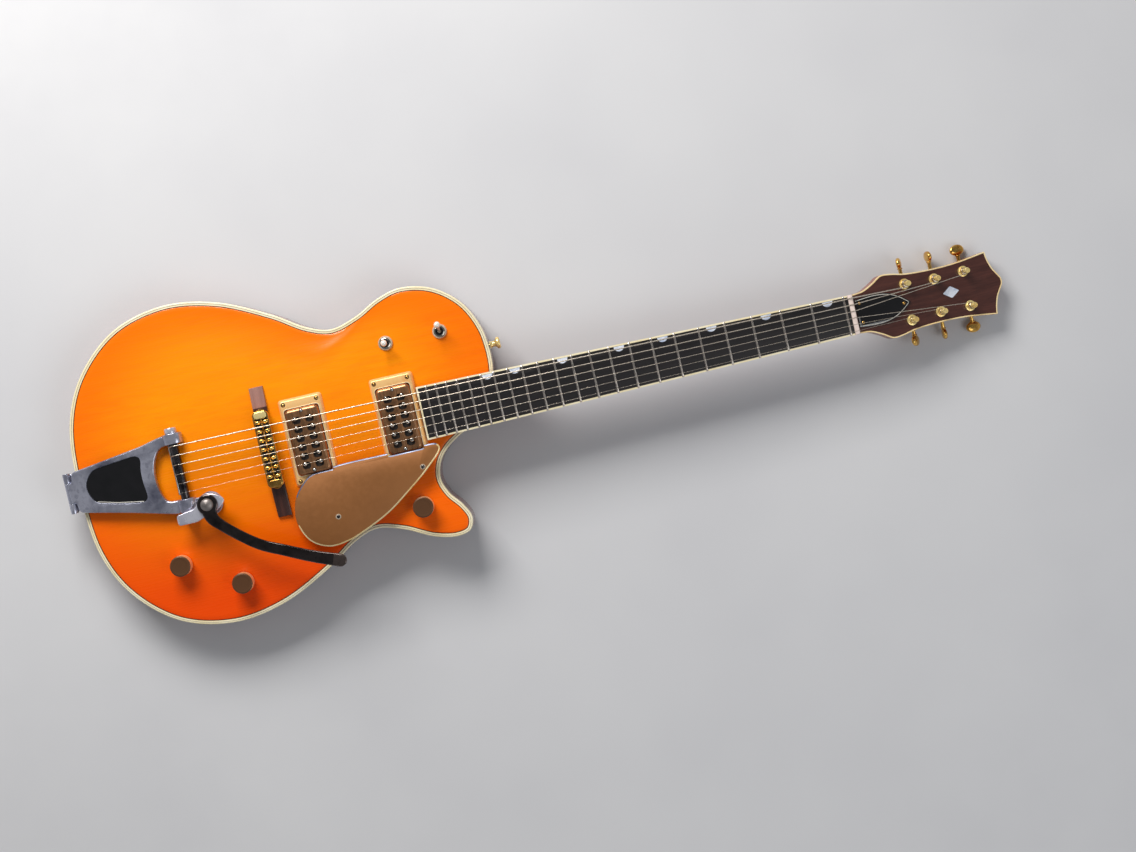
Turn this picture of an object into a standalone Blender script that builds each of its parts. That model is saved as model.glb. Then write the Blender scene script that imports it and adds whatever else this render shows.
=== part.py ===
"""Single-cutaway electric guitar with an arched top and a vibrato tailpiece, in metres.

The guitar lies on its flat back. The origin is on the back, under the bridge saddles.
+X runs along the neck to the headstock, +Y to the bass side and +Z out of the face.
"""

import math

import bmesh
import bpy
import numpy as np

for old in list(bpy.data.objects):
    bpy.data.objects.remove(old, do_unlink=True)

# Clearances
TOUCH = 0.0003            # between pieces that rest on each other
RUNNING = 0.0003          # radial, between a shaft and its bore
CUT_REACH = 0.0300        # how far a cutting shape runs past what it cuts

# Scale and strings
SCALE = 0.625             # zero fret to saddles
FRETS = 22
NUT_SPREAD = 0.0350       # outer strings, centre to centre
SADDLE_SPREAD = 0.0484
STRING_DIAMETERS = (0.00132, 0.00107, 0.00081, 0.00061, 0.00041, 0.00030)

# Body
RIM_HEIGHT = 0.0445       # flat back to the top's edge
ARCH = 0.0090             # rise of the top above its edge
CAP = 0.0070              # thickness of the arched top
BINDING = 0.0045          # width of the edge binding
BACK_EDGE = 0.0015        # softened edge round the back
CHAMBER_SHARE = 0.915     # size of the chambered area against the body's outline
BACK_PLATE = 0.0080       # floor of the chambers
CENTRE_BLOCK = 0.1120     # width of the solid spine
BRACES = ((-0.092, -0.084), (0.000, 0.008), (0.062, 0.098))
WIRE_WAY = 0.0090         # side of the square ways for the wires
LONG_WAY = (-0.1050, 0.1300, -0.0840)      # its two ends along the body, and its place across
LONG_WAY_LIFT = 0.0020    # chamber floor to the long way
CROSS_WAY_REACH = 0.0900  # centre line to the end of a way under a pickup
CROSS_WAY_DROPS = {"neck": 0.0200, "bridge": 0.0190}       # below the binding's ledge
TAIL = -0.2092
LOWER_BOUT = ((-0.2030, 0.0705), (-0.1800, 0.1185), (-0.1350, 0.1577), (-0.0780, 0.1720),
              (-0.0220, 0.1630), (0.0330, 0.1369), (0.0660, 0.1158), (0.0900, 0.1082))
UPPER_BOUT = ((0.1180, 0.1152), (0.1450, 0.1285), (0.1700, 0.1345), (0.2030, 0.1272),
              (0.2300, 0.1060), (0.2449, 0.0771), (0.2487, 0.0540), (0.2480, 0.0300))
UNDER_NECK = ((0.2410, 0.0040), (0.2250, -0.0180))
CUTAWAY = ((0.1982, -0.0309), (0.1820, -0.0417), (0.1717, -0.0550), (0.1679, -0.0715),
           (0.1735, -0.0882), (0.1852, -0.1037), (0.1914, -0.1185), (0.1868, -0.1312),
           (0.1725, -0.1350), (0.1485, -0.1302), (0.1180, -0.1154))

# Neck
NECK_PITCH = math.radians(2.5)
BOARD_RISE = 0.0215       # body's edge to the board's surface, carried on to the saddles
BOARD_HEIGHT_AT_SADDLE = RIM_HEIGHT + BOARD_RISE
BOARD_THICKNESS = 0.0060
NUT_WIDTH = 0.0425
BOARD_END_WIDTH = 0.0570
BOARD_RADIUS = 0.305
FRET_WIDTH = 0.0024
FRET_HEIGHT = 0.0010
NUT_GAP = 0.0058          # zero fret to the front of the nut
NUT_THICKNESS = 0.0038
NUT_HEIGHT = 0.0016
NECK_DEPTH_AT_NUT = 0.0150
NECK_DEPTH_AT_TWELFTH = 0.0175
HEEL_START = 0.2520
HEEL_DEPTH = 0.0385
TENON_WIDTH = 0.0540
TENON_DEPTH = 0.0400
TRUSS_ROD_RADIUS = 0.0025
ROD_DEPTH = 0.0085        # fingerboard's underside to the rod's axis
ROD_START = 0.0120        # heel to the rod's end
ROD_INTO_HEAD = 0.0220    # headstock's start to the rod's other end
ROD_SPACE = 0.0080        # room past the rod for its spanner

# Headstock
HEAD_ANGLE = math.radians(10)
HEAD_DROP = 0.0050        # fingerboard surface down to the headstock's face
HEAD_THICKNESS = 0.0145
HEAD_SIDE = ((-0.0040, 0.0206), (0.0040, 0.0213), (0.0120, 0.0222), (0.0245, 0.0278), (0.0355, 0.0340),
             (0.0460, 0.0336), (0.0620, 0.0305), (0.0900, 0.0289), (0.1200, 0.0297),
             (0.1560, 0.0342))
HEAD_TIP = ((0.1574, 0.0255), (0.1608, 0.0155), (0.1658, 0.0074), (0.1688, 0.0))
ROD_COVER = ((0.0010, 0.0148), (0.0235, 0.0162), (0.0400, 0.0138), (0.0515, 0.0082),
             (0.0622, 0.0))
ROD_COVER_THICKNESS = 0.0020

# Tuners, from the nut outwards
POST_PLACES = ((0.0596, 0.0196), (0.0934, 0.0178), (0.1273, 0.0188))
POST_RADIUS = 0.0030
POST_RISE = 0.0140
WINDING_HEIGHT = 0.0050
TUNER_NUT_RADIUS = 0.0057
BUSHING_RADIUS = 0.0046
HOUSING_SIZE = (0.0220, 0.0150, 0.0100)
SHAFT_OFFSET = 0.0065
SHAFT_RADIUS = 0.0020
BUTTON_REACH = 0.0423     # centre line of the headstock to the button's middle
BUTTON_SIZE = (0.0172, 0.0120, 0.0058)
BUTTON_TURNS = ((65, 88, 10), (50, 75, 8))      # degrees, bass side then treble side

# Pickups
PICKUP_PLACES = {"bridge": 0.0425, "neck": 0.1403}
RING_LENGTH = 0.0935
RING_WIDTH = 0.0470
RING_DRAFT = 0.0022       # slope of a ring's sides, foot to top
RING_FOOT = 0.0025        # body's edge to the lowest part of a ring, before the top shapes it
RING_RISES = {"bridge": 0.0137, "neck": 0.0107}
RING_TOPS = {name: RIM_HEIGHT + rise for name, rise in RING_RISES.items()}
RING_TO_BOARD = 0.0012    # neck pickup's ring to the fingerboard's end
BOARD_END = PICKUP_PLACES["neck"] + RING_WIDTH / 2 + RING_TO_BOARD
COVER_LENGTH = 0.0700
COVER_WIDTH = 0.0360
COVER_RISES = {"bridge": 0.0191, "neck": 0.0153}
COVER_TOPS = {name: RIM_HEIGHT + rise for name, rise in COVER_RISES.items()}
COVER_DEPTH = 0.0200
WINDOW_LENGTH = 0.0540
WINDOW_WIDTH = 0.0240
WINDOW_DEPTH = 0.0030
POLE_SPACING = 0.00964
POLE_ROWS = 0.0171
POLE_RADIUS = 0.0022

# Pickguard
GUARD_RISE = 0.0144
GUARD_BOTTOM = RIM_HEIGHT + GUARD_RISE
GUARD_THICKNESS = 0.0020
GUARD_EDGE = ((0.0640, -0.0330), (0.1200, -0.0325), (0.1600, -0.0322), (0.1730, -0.0336),
              (0.1757, -0.0392), (0.1575, -0.0580), (0.1350, -0.0753), (0.1092, -0.0929), (0.0848, -0.1046),
              (0.0612, -0.1130), (0.0392, -0.1145), (0.0205, -0.1040), (0.0112, -0.0810),
              (0.0157, -0.0578), (0.0268, -0.0436), (0.0365, -0.0370))
GUARD_SCREWS = ((0.1537, -0.0543), (0.0554, -0.0858))
SPACER_RADIUS = 0.0035

# Bridge
SADDLE_RISE = 0.0257      # body's edge to the strings' rest
SADDLE_HEIGHT = RIM_HEIGHT + SADDLE_RISE
BASE_LENGTH = 0.1395
BASE_WIDTH = 0.0150
BASE_SHIFT = 0.0035       # base's middle to the centre line, towards the thin strings
BASE_FOOT = 0.0015        # body's edge to the base's foot, before the top shapes it
BASE_MIDDLE = 0.0026      # thickness of the base between its feet
BASE_RELIEF = 0.0440      # free length between its feet
BASE_RISE = 0.0133
BASE_TOP = RIM_HEIGHT + BASE_RISE
BASE_END_DROP = 0.0022
BASE_END_TOP = BASE_TOP - BASE_END_DROP
BAR_LENGTH = 0.0828
BAR_WIDTH = 0.0170
WHEEL_GAP = 0.0028        # base to bar, where the height wheels are
BAR_BOTTOM = BASE_TOP + WHEEL_GAP
BAR_HEIGHT = 0.0078
BAR_TOP = BAR_BOTTOM + BAR_HEIGHT
STUD_SPACING = 0.0740
STUD_RADIUS = 0.0020
WHEEL_RADIUS = 0.0060
BEAD_RADIUS = 0.0027
BEAD_ROWS = 0.0084

# Controls
KNOB_PLACES = {"bridge_volume_knob": (-0.1187, -0.0998), "neck_volume_knob": (-0.0591, -0.1317),
               "master_volume_knob": (0.1445, -0.0960)}
KNOB_RADIUS = 0.0109
KNOB_HEIGHT = 0.0150
KNOB_LIFT = 0.0015
PANEL = 0.0050            # top left under a control's nut
POT_NUT_RADIUS = 0.0062
POT_RADIUS = 0.0120
BORE_DEPTH = 0.0145       # body's edge down to where a control's bore is clear of the top
POT_DEPTH = 0.0090
POT_SHAFT_RADIUS = 0.0030
POT_BUSHING_RADIUS = 0.0046
SWITCH_PLACES = {"pickup_switch": (0.1434, 0.0809), "tone_switch": (0.2017, 0.0805)}
SWITCH_BUSHING_RADIUS = 0.0058
SWITCH_NUT_RADIUS = 0.0077
SWITCH_CAN_RADIUS = 0.0090
SWITCH_CAN_DEPTH = 0.0150
SWITCH_RISE = 0.0045
SWITCH_BORE = 0.0034
LEVER_LENGTH = 0.0195
LEVER_LEANS = {"pickup_switch": 0.0, "tone_switch": math.radians(-25)}
CONTROL_COVER = (0.1120, 0.0500, -0.0890, -0.1120, math.radians(-28))
SWITCH_COVER = (0.1000, 0.0420, 0.1720, 0.0790, math.radians(-3))
COVER_PLATE = 0.0022
JACK_ANGLE = math.radians(-137)
JACK_DROP = 0.0235        # body's edge down to the jack's axis
JACK_HEIGHT = RIM_HEIGHT - JACK_DROP
JACK_RADIUS = 0.0085
JACK_FLANGE = 0.0115
JACK_BORE = 0.0032
JACK_LENGTH = 0.0200

# Strap buttons
STRAP_HEAD_RADIUS = 0.0062
STRAP_STEM_RADIUS = 0.0030
STRAP_LENGTH = 0.0110
STRAP_DROP = 0.0205       # body's edge down to the strap buttons
STRAP_HEIGHT = RIM_HEIGHT - STRAP_DROP
UPPER_STRAP_ANGLE = math.radians(12.4)

# Vibrato
HINGE_X = -0.2175
HINGE_RISE = 0.0055
HINGE_Z = RIM_HEIGHT + HINGE_RISE
FRAME_TILT = math.radians(4)
FRAME_THICKNESS = 0.0080
KNUCKLE_RADIUS = 0.0036
HINGE_PIN_RADIUS = 0.0015
HINGE_HALF_WIDTH = 0.0215
HINGE_PLATE = 0.0024
HINGE_PLATE_BOTTOM = 0.0080
AXLE_X = -0.0970
AXLE_RISE = 0.0147
AXLE_Z = RIM_HEIGHT + AXLE_RISE
AXLE_RADIUS = 0.0048
BASS_BEARING = (0.0270, 0.0385)
TREBLE_BEARING = (-0.0455, -0.0320)
BEARING_LENGTH = 0.0196
CLAMP_END = -0.0578
AXLE_END = CLAMP_END + 0.0012
AXLE_SPREAD = 0.0498
PIN_RADIUS = 0.0012
BALL_RADIUS = 0.0021
PIVOT = (-0.0730, -0.0422)
CUP_RISE = 0.0117
CUP_HEIGHT = RIM_HEIGHT + CUP_RISE
CUP_RADIUS = 0.0125
BRACKET_RISE = 0.0277
BRACKET_BOTTOM = RIM_HEIGHT + BRACKET_RISE
BRACKET_THICKNESS = 0.0040
ARM_THICKNESS = 0.0038
BOSS_RADIUS = 0.0110
BOLT_HEAD_RADIUS = 0.0067
BOLT_HEAD_HEIGHT = 0.0050
BOLT_RADIUS = 0.0040
ARM_PATH = ((-0.0730, -0.0422), (-0.0712, -0.0565), (-0.0641, -0.0655), (-0.0464, -0.0816),
            (-0.0282, -0.0952), (-0.0051, -0.1064), (0.0220, -0.1190), (0.0495, -0.1296))
ARM_ROOT_WIDTH = 0.0152
ARM_WIDTH = 0.0112
ARM_TIP_WIDTH = 0.0136
SPRING_WIRE = 0.0024
SPRING_RADIUS = 0.0085
SPRING_TURNS = 4.5
TURN_POINTS = 10

parts = bpy.data.collections.new("electric_guitar")
cutters = bpy.data.collections.new("cutters")
bpy.context.scene.collection.children.link(parts)
bpy.context.scene.collection.children.link(cutters)


# Materials

def material(name, colour, roughness, metallic=0.0):
    made = bpy.data.materials.new(name)
    made.use_nodes = True
    shader = made.node_tree.nodes["Principled BSDF"]
    shader.inputs["Base Color"].default_value = (*colour, 1.0)
    shader.inputs["Roughness"].default_value = roughness
    shader.inputs["Metallic"].default_value = metallic
    return made


ORANGE = material("orange_stain", (1.0, 0.28, 0.01), 0.2)
BROWN = material("stained_mahogany", (0.36, 0.09, 0.02), 0.3)
CREAM = material("cream_binding", (0.90, 0.82, 0.60), 0.35)
MAPLE = material("neck_wood", (0.55, 0.20, 0.05), 0.3)
EBONY = material("ebony", (0.015, 0.012, 0.013), 0.4)
ROSEWOOD = material("rosewood", (0.06, 0.02, 0.015), 0.4)
BONE = material("bone", (0.85, 0.82, 0.74), 0.35)
BLACK = material("black_plastic", (0.02, 0.02, 0.02), 0.3)
GOLD = material("gold_plate", (0.83, 0.55, 0.20), 0.25, 1.0)
SATIN_GOLD = material("satin_gold", (0.42, 0.26, 0.10), 0.45, 0.8)
STEEL = material("steel", (0.60, 0.60, 0.62), 0.3, 1.0)
ALUMINIUM = material("polished_aluminium", (0.70, 0.72, 0.76), 0.2, 1.0)
DARK_METAL = material("dark_arm", (0.05, 0.05, 0.06), 0.25, 1.0)


# Building blocks

def finish(obj, paint, parent=None, smooth=40):
    """Puts an object among the parts, with its material and its parent frame."""
    parts.objects.link(obj)
    obj.data.materials.append(paint)
    obj.parent = parent
    if obj.type == "MESH" and obj.data.polygons:
        obj.data.shade_smooth()
        obj.data.set_sharp_from_angle(angle=math.radians(smooth))
    return obj


def tool(obj, parent=None):
    """Keeps an object as a cutter or as a shape to be joined: it isn't a part."""
    cutters.objects.link(obj)
    obj.parent = parent
    obj.hide_render = True
    obj.display_type = "WIRE"
    return obj


def combine(obj, other, operation):
    change = obj.modifiers.new(other.name, "BOOLEAN")
    change.operation = operation
    change.solver = "EXACT"
    change.object = other


def cut(obj, *others):
    for other in others:
        combine(obj, other, "DIFFERENCE")


def join(obj, *others):
    for other in others:
        combine(obj, other, "UNION")


def mesh_object(name, shape):
    """An object from a bmesh, with its faces turned outwards."""
    bmesh.ops.recalc_face_normals(shape, faces=shape.faces)
    mesh = bpy.data.meshes.new(name)
    shape.to_mesh(mesh)
    shape.free()
    return bpy.data.objects.new(name, mesh)


def boxes(name, corners):
    """One object of boxes, each given by its low and high corner."""
    shape = bmesh.new()
    for low, high in corners:
        made = bmesh.ops.create_cube(shape, size=1.0)["verts"]
        for vertex in made:
            for axis in range(3):
                vertex.co[axis] = low[axis] if vertex.co[axis] < 0 else high[axis]
    return mesh_object(name, shape)


def rods(name, placed, segments=16):
    """One object of upright cylinders, each given by its (x, y), radius, low and high."""
    shape = bmesh.new()
    for (x, y), radius, low, high in placed:
        made = bmesh.ops.create_cone(shape, cap_ends=True, segments=segments, radius1=radius,
                                     radius2=radius, depth=high - low)["verts"]
        bmesh.ops.translate(shape, verts=made, vec=(x, y, (low + high) / 2))
    return mesh_object(name, shape)


def cross_rods(name, placed, segments=16):
    """One object of cylinders along Y, each given by its (x, z), radius, low and high y."""
    made = rods(name, [((x, -z), radius, low, high) for (x, z), radius, low, high in placed],
                segments)
    quarter = np.array(((1, 0, 0), (0, 0, 1), (0, -1, 0)), float)
    points = np.array([vertex.co for vertex in made.data.vertices]) @ quarter.T
    made.data.vertices.foreach_set("co", points.astype(np.float32).ravel())
    return made


def lathe(name, profile, steps=16, closed=False):
    """A turned shape: (radius, height) pairs from top to bottom, turned about Z."""
    count = len(profile)
    edges = [(i, i + 1) for i in range(count - 1)] + ([(count - 1, 0)] if closed else [])
    mesh = bpy.data.meshes.new(name)
    mesh.from_pydata([(radius, 0.0, height) for radius, height in profile], edges, [])
    obj = bpy.data.objects.new(name, mesh)
    turn = obj.modifiers.new("turn", "SCREW")
    turn.steps = turn.render_steps = steps
    turn.use_merge_vertices = True
    turn.merge_threshold = 0.00001
    turn.use_smooth_shade = True
    return obj


def loft(name, rings):
    """A closed solid through rings of equally many points, capped at both ends."""
    shape = bmesh.new()
    rows = [[shape.verts.new(point) for point in ring] for ring in rings]
    count = len(rows[0])
    for low, high in zip(rows, rows[1:]):
        for i in range(count):
            shape.faces.new((low[i], low[(i + 1) % count], high[(i + 1) % count], high[i]))
    shape.faces.new(rows[0][::-1])
    shape.faces.new(rows[-1])
    return mesh_object(name, shape)


def as_mesh(curve):
    """A curve object made a mesh object, with its caps welded to its sides."""
    bpy.context.scene.collection.objects.link(curve)
    bpy.context.view_layer.update()
    graph = bpy.context.evaluated_depsgraph_get()
    mesh = bpy.data.meshes.new_from_object(curve.evaluated_get(graph))
    shape = bmesh.new()
    shape.from_mesh(mesh)
    bmesh.ops.remove_doubles(shape, verts=shape.verts, dist=0.000001)
    made = mesh_object(curve.name, shape)
    made.matrix_world = curve.matrix_world
    name = curve.name
    bpy.data.objects.remove(curve, do_unlink=True)
    made.name = name
    return made


def plate(name, outlines, low, high):
    """A flat plate between two heights. The first outline is its edge, the others are holes."""
    data = bpy.data.curves.new(name, "CURVE")
    data.dimensions = "2D"
    data.fill_mode = "BOTH"
    data.extrude = (high - low) / 2
    for outline in outlines:
        spline = data.splines.new("POLY")
        spline.points.add(len(outline) - 1)
        for point, (x, y) in zip(spline.points, outline):
            point.co = (x, y, 0.0, 1.0)
        spline.use_cyclic_u = True
    obj = bpy.data.objects.new(name, data)
    obj.location.z = (low + high) / 2
    return obj


def solid_plate(name, outlines, low, high):
    """The same plate as a mesh in place, for cuts and joins."""
    obj = as_mesh(plate(name, outlines, low, high))
    obj.data.transform(obj.matrix_basis)
    obj.location.z = 0.0
    return obj


def wire(name, points, radius, resolution=1):
    """A round wire through points."""
    data = bpy.data.curves.new(name, "CURVE")
    data.dimensions = "3D"
    data.bevel_depth = radius
    data.bevel_resolution = resolution
    data.use_fill_caps = True
    spline = data.splines.new("POLY")
    spline.points.add(len(points) - 1)
    for point, place in zip(spline.points, points):
        point.co = (*place, 1.0)
    return bpy.data.objects.new(name, data)


def frame(name, location, turn=(0.0, 0.0, 0.0), parent=None):
    """An empty that other pieces are placed by."""
    obj = bpy.data.objects.new(name, None)
    obj.location = location
    obj.rotation_euler = turn
    obj.parent = parent
    obj.empty_display_size = 0.02
    parts.objects.link(obj)
    return obj


# Curves in the plane

def spline(points, steps, closed=False):
    """Centripetal Catmull-Rom curve through the points, steps samples to a span."""
    p = np.array(points, float)
    if closed:
        p = np.concatenate([p[-1:], p, p[:2]])
    else:
        p = np.concatenate([2 * p[:1] - p[1:2], p, 2 * p[-1:] - p[-2:-1]])
    samples = []
    for a, b, c, d in zip(p, p[1:], p[2:], p[3:]):
        knots = np.cumsum([0.0] + [math.sqrt(np.linalg.norm(v)) for v in (b - a, c - b, d - c)])
        for t in np.linspace(knots[1], knots[2], steps, endpoint=False):
            def mix(u, v, i, j):
                return ((knots[j] - t) * u + (t - knots[i]) * v) / (knots[j] - knots[i])
            left, middle, right = mix(a, b, 0, 1), mix(b, c, 1, 2), mix(c, d, 2, 3)
            samples.append(mix(mix(left, middle, 0, 2), mix(middle, right, 1, 3), 1, 2))
    if not closed:
        samples.append(p[-2])
    return np.array(samples)


def normals(outline):
    """Unit normals on the left of a closed outline."""
    along = np.roll(outline, -1, axis=0) - np.roll(outline, 1, axis=0)
    along /= np.linalg.norm(along, axis=1)[:, None]
    return np.stack([-along[:, 1], along[:, 0]], axis=1)


def inset(outline, distance):
    """A closed clockwise outline moved inwards."""
    return outline - distance * normals(outline)


def mirrored(half):
    """A closed outline from one side of a shape that is symmetric about X."""
    half = np.array(half, float)
    other = half[::-1] * (1, -1)
    return np.concatenate([half, other[np.abs(other[:, 1]) > 1e-9]])


def rounded_rectangle(length_x, length_y, radius, steps=2):
    quarter = np.linspace(0, math.pi / 2, steps + 1)
    points = []
    for index, (sign_x, sign_y) in enumerate(((1, 1), (-1, 1), (-1, -1), (1, -1))):
        centre = np.array((sign_x * (length_x / 2 - radius), sign_y * (length_y / 2 - radius)))
        angles = quarter + index * math.pi / 2
        points.append(centre + radius * np.stack([np.cos(angles), np.sin(angles)], axis=1))
    return np.concatenate(points)


def moved(outline, x, y, turn=0.0):
    """An outline turned about its own middle and moved."""
    c, s = math.cos(turn), math.sin(turn)
    return np.array(outline) @ np.array(((c, s), (-s, c))) + (x, y)


# Body outline, clockwise seen from above, and the height of the arched top

OUTLINE = spline([(TAIL, 0.0), *LOWER_BOUT, *UPPER_BOUT, *UNDER_NECK, *CUTAWAY]
                 + [(x, -y) for x, y in reversed(LOWER_BOUT)], 2, closed=True)
EDGE_ANGLES = np.arctan2(OUTLINE[:, 1], OUTLINE[:, 0])
EDGE_REACH = np.linalg.norm(OUTLINE, axis=1)
order = np.argsort(EDGE_ANGLES)
INNER = inset(OUTLINE, BINDING + TOUCH)
UNDER_SHARES = (0.25, 0.60)
TOP_SHARES = (1.0, 0.85, 0.68, 0.48, 0.25)


def reach(angle):
    """Distance from the origin to the body's edge."""
    return np.interp(angle, EDGE_ANGLES[order], EDGE_REACH[order], period=2 * math.pi)


def top_height(x, y):
    """Height of the top: a cosine that falls from the bridge and levels out at the edge."""
    share = np.hypot(x, y) / reach(np.arctan2(y, x)) / 0.985
    return RIM_HEIGHT + ARCH * 0.5 * (1 + np.cos(math.pi * np.minimum(share, 1.0) ** 1.5))


def edge_place(angle):
    """Point on the body's edge and its outward direction."""
    point = reach(angle) * np.array((math.cos(angle), math.sin(angle)))
    nearest = np.argmin(np.linalg.norm(OUTLINE - point, axis=1))
    return point, normals(OUTLINE)[nearest]


def arched_rings(outline, lift, shares):
    """Rings of an outline drawn in to each share, lying at the top's height plus lift."""
    rings = []
    for share in shares:
        ring = outline * share
        heights = top_height(ring[:, 0], ring[:, 1]) + lift
        rings.append(np.column_stack([ring, heights]))
    return rings


def level_ring(outline, height):
    return np.column_stack([outline, np.full(len(outline), height)])


neck_frame = frame("neck_frame", (0.0, 0.0, BOARD_HEIGHT_AT_SADDLE), (0.0, NECK_PITCH, 0.0))
HEAD_X = SCALE + NUT_GAP + NUT_THICKNESS + 0.0009
head_frame = frame("head_frame", (HEAD_X, 0.0, -HEAD_DROP), (0.0, HEAD_ANGLE, 0.0), neck_frame)


# Body

def control_cover_outline(shrink=0.0):
    length, width, x, y, turn = CONTROL_COVER
    shape = rounded_rectangle(length - 2 * shrink, width - 2 * shrink, width * 0.45 - shrink, 3)
    return moved(shape, x, y, turn)


def switch_cover_outline(shrink=0.0):
    length, width, x, y, turn = SWITCH_COVER
    shape = rounded_rectangle(length - 2 * shrink, width - 2 * shrink, width * 0.45 - shrink, 3)
    return moved(shape, x, y, turn)


def make_body():
    ledge = RIM_HEIGHT - CAP - TOUCH
    back = loft("body_back", [
        level_ring(inset(OUTLINE, BACK_EDGE), 0.0),
        level_ring(OUTLINE, BACK_EDGE),
        level_ring(OUTLINE, ledge),
        level_ring(inset(OUTLINE, BINDING + 2 * TOUCH), ledge),
        *arched_rings(INNER, -CAP - TOUCH, UNDER_SHARES[::-1])])
    top = loft("body_top", [
        *arched_rings(INNER, -CAP, (*UNDER_SHARES, 1.0)),
        *arched_rings(INNER, 0.0, TOP_SHARES)])
    edge = solid_plate("top_binding", [OUTLINE, inset(OUTLINE, BINDING)],
                       RIM_HEIGHT - CAP, RIM_HEIGHT)

    high = RIM_HEIGHT + CUT_REACH
    chambers = tool(solid_plate("chambers", [OUTLINE * CHAMBER_SHARE], BACK_PLATE, high))
    spine = tool(boxes("spine", [((-0.3, -CENTRE_BLOCK / 2, 0), (0.3, CENTRE_BLOCK / 2, high))]))
    braces = tool(boxes("braces", [((low, -0.2, 0), (up, 0.2, high)) for low, up in BRACES]))
    cut(chambers, spine, braces)
    start, end, across = LONG_WAY
    floor = BACK_PLATE + LONG_WAY_LIFT
    under = {name: ledge - drop for name, drop in CROSS_WAY_DROPS.items()}
    ways = tool(boxes("wire_ways", [
        ((start, across, floor), (end, across + WIRE_WAY, floor + WIRE_WAY)),
        ((PICKUP_PLACES["neck"] - WIRE_WAY / 2, -CROSS_WAY_REACH, under["neck"]),
         (PICKUP_PLACES["neck"] + WIRE_WAY / 2, CROSS_WAY_REACH, under["neck"] + WIRE_WAY)),
        ((PICKUP_PLACES["bridge"] - WIRE_WAY / 2, -CROSS_WAY_REACH, under["bridge"]),
         (PICKUP_PLACES["bridge"] + WIRE_WAY / 2, 0.0, under["bridge"] + WIRE_WAY))]))

    half_tenon = TENON_WIDTH / 2 + TOUCH
    pocket = tool(boxes("neck_pocket", [
        ((BOARD_END - TOUCH, -half_tenon, -BOARD_THICKNESS - TENON_DEPTH - TOUCH),
         (HEEL_START + CUT_REACH, half_tenon, CUT_REACH))]), neck_frame)
    routes = tool(boxes("pickup_routes", [
        ((x - COVER_WIDTH / 2 - TOUCH * 3, -COVER_LENGTH / 2 - TOUCH * 3, COVER_TOPS[name]
          - COVER_DEPTH - TOUCH),
         (x + COVER_WIDTH / 2 + TOUCH * 3, COVER_LENGTH / 2 + TOUCH * 3, high))
        for name, x in PICKUP_PLACES.items()]))
    controls = [(place, POT_BUSHING_RADIUS, POT_NUT_RADIUS, POT_RADIUS) for place in KNOB_PLACES.values()]
    controls += [(place, SWITCH_BUSHING_RADIUS, SWITCH_NUT_RADIUS, SWITCH_CAN_RADIUS)
                 for place in SWITCH_PLACES.values()]
    bores = []
    low = RIM_HEIGHT - BORE_DEPTH
    for place, hole, nut, can in controls:
        surface = float(top_height(*place))
        bores.append(tool(lathe("control_bore", [
            (0, high), (nut + 2 * TOUCH, high), (nut + 2 * TOUCH, surface), (hole + RUNNING, surface),
            (hole + RUNNING, surface - PANEL), (can + 2 * TOUCH, surface - PANEL), (can + 2 * TOUCH, low),
            (0, low)], 14)))
        bores[-1].location = (*place, 0.0)
    recesses = [
        tool(solid_plate("control_recess", [control_cover_outline()], -0.001, COVER_PLATE + 2 * TOUCH)),
        tool(solid_plate("switch_recess", [switch_cover_outline()], -0.001, COVER_PLATE + 2 * TOUCH)),
        tool(solid_plate("control_opening", [control_cover_outline(0.005)], 0.001, BACK_PLATE + 0.001)),
        tool(solid_plate("switch_opening", [switch_cover_outline(0.005)], 0.001, BACK_PLATE + 0.001))]
    side_holes = [strap_hole("tail_screw_hole", (TAIL, 0.0), (-1.0, 0.0)),
                  strap_hole("upper_screw_hole", *edge_place(UPPER_STRAP_ANGLE)),
                  jack_hole()]
    cut(back, chambers, ways, pocket, routes, *recesses, *side_holes)
    cut(top, pocket, routes, *bores)
    cut(edge, pocket)
    finish(back, BROWN, smooth=30)
    finish(top, ORANGE)
    finish(edge, CREAM)

    for name, outline in (("control_cover", control_cover_outline(TOUCH)),
                          ("switch_cover", switch_cover_outline(TOUCH))):
        finish(plate(name, [outline], TOUCH, TOUCH + COVER_PLATE), BLACK)


def sideways(obj, point, direction, height):
    """Stands a turned shape on the body's side, its axis along the outward direction."""
    obj.location = (point[0], point[1], height)
    obj.rotation_euler = (0.0, math.pi / 2, math.atan2(direction[1], direction[0]))
    return obj


def strap_hole(name, point, direction):
    hole = rods(name, [((0, 0), STRAP_STEM_RADIUS / 2 + TOUCH, -0.0125, 0.002)], 10)
    return tool(sideways(hole, point, direction, STRAP_HEIGHT))


def jack_hole():
    point, direction = edge_place(JACK_ANGLE)
    hole = rods("jack_hole", [((0, 0), JACK_RADIUS + TOUCH, -JACK_LENGTH - 0.004, 0.004)], 20)
    return tool(sideways(hole, point, direction, JACK_HEIGHT))


# Neck, fingerboard and headstock

def board_half_width(x):
    """Half width of the fingerboard and neck at a place along them."""
    share = (SCALE - x) / (SCALE - BOARD_END)
    return (NUT_WIDTH + (BOARD_END_WIDTH - NUT_WIDTH) * share) / 2


def crown(y):
    """Drop of the fingerboard's round surface below its middle."""
    return BOARD_RADIUS - np.sqrt(BOARD_RADIUS ** 2 - y ** 2)


def neck_section(x, depth, squareness):
    """Half-round section below the fingerboard, squarer towards the heel."""
    half = board_half_width(x)
    turn = np.linspace(0, math.pi, 11)
    power = 2 / squareness
    y = half * np.sign(np.cos(turn)) * np.abs(np.cos(turn)) ** power
    z = -BOARD_THICKNESS - TOUCH - depth * np.sin(turn) ** power
    return np.column_stack([np.full(len(turn), x), y, z])


def head_outline(shrink=0.0):
    half = np.concatenate([spline(HEAD_SIDE, 3), spline(HEAD_TIP, 2)])
    whole = mirrored(half)
    return inset(whole, shrink) if shrink else whole


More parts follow.
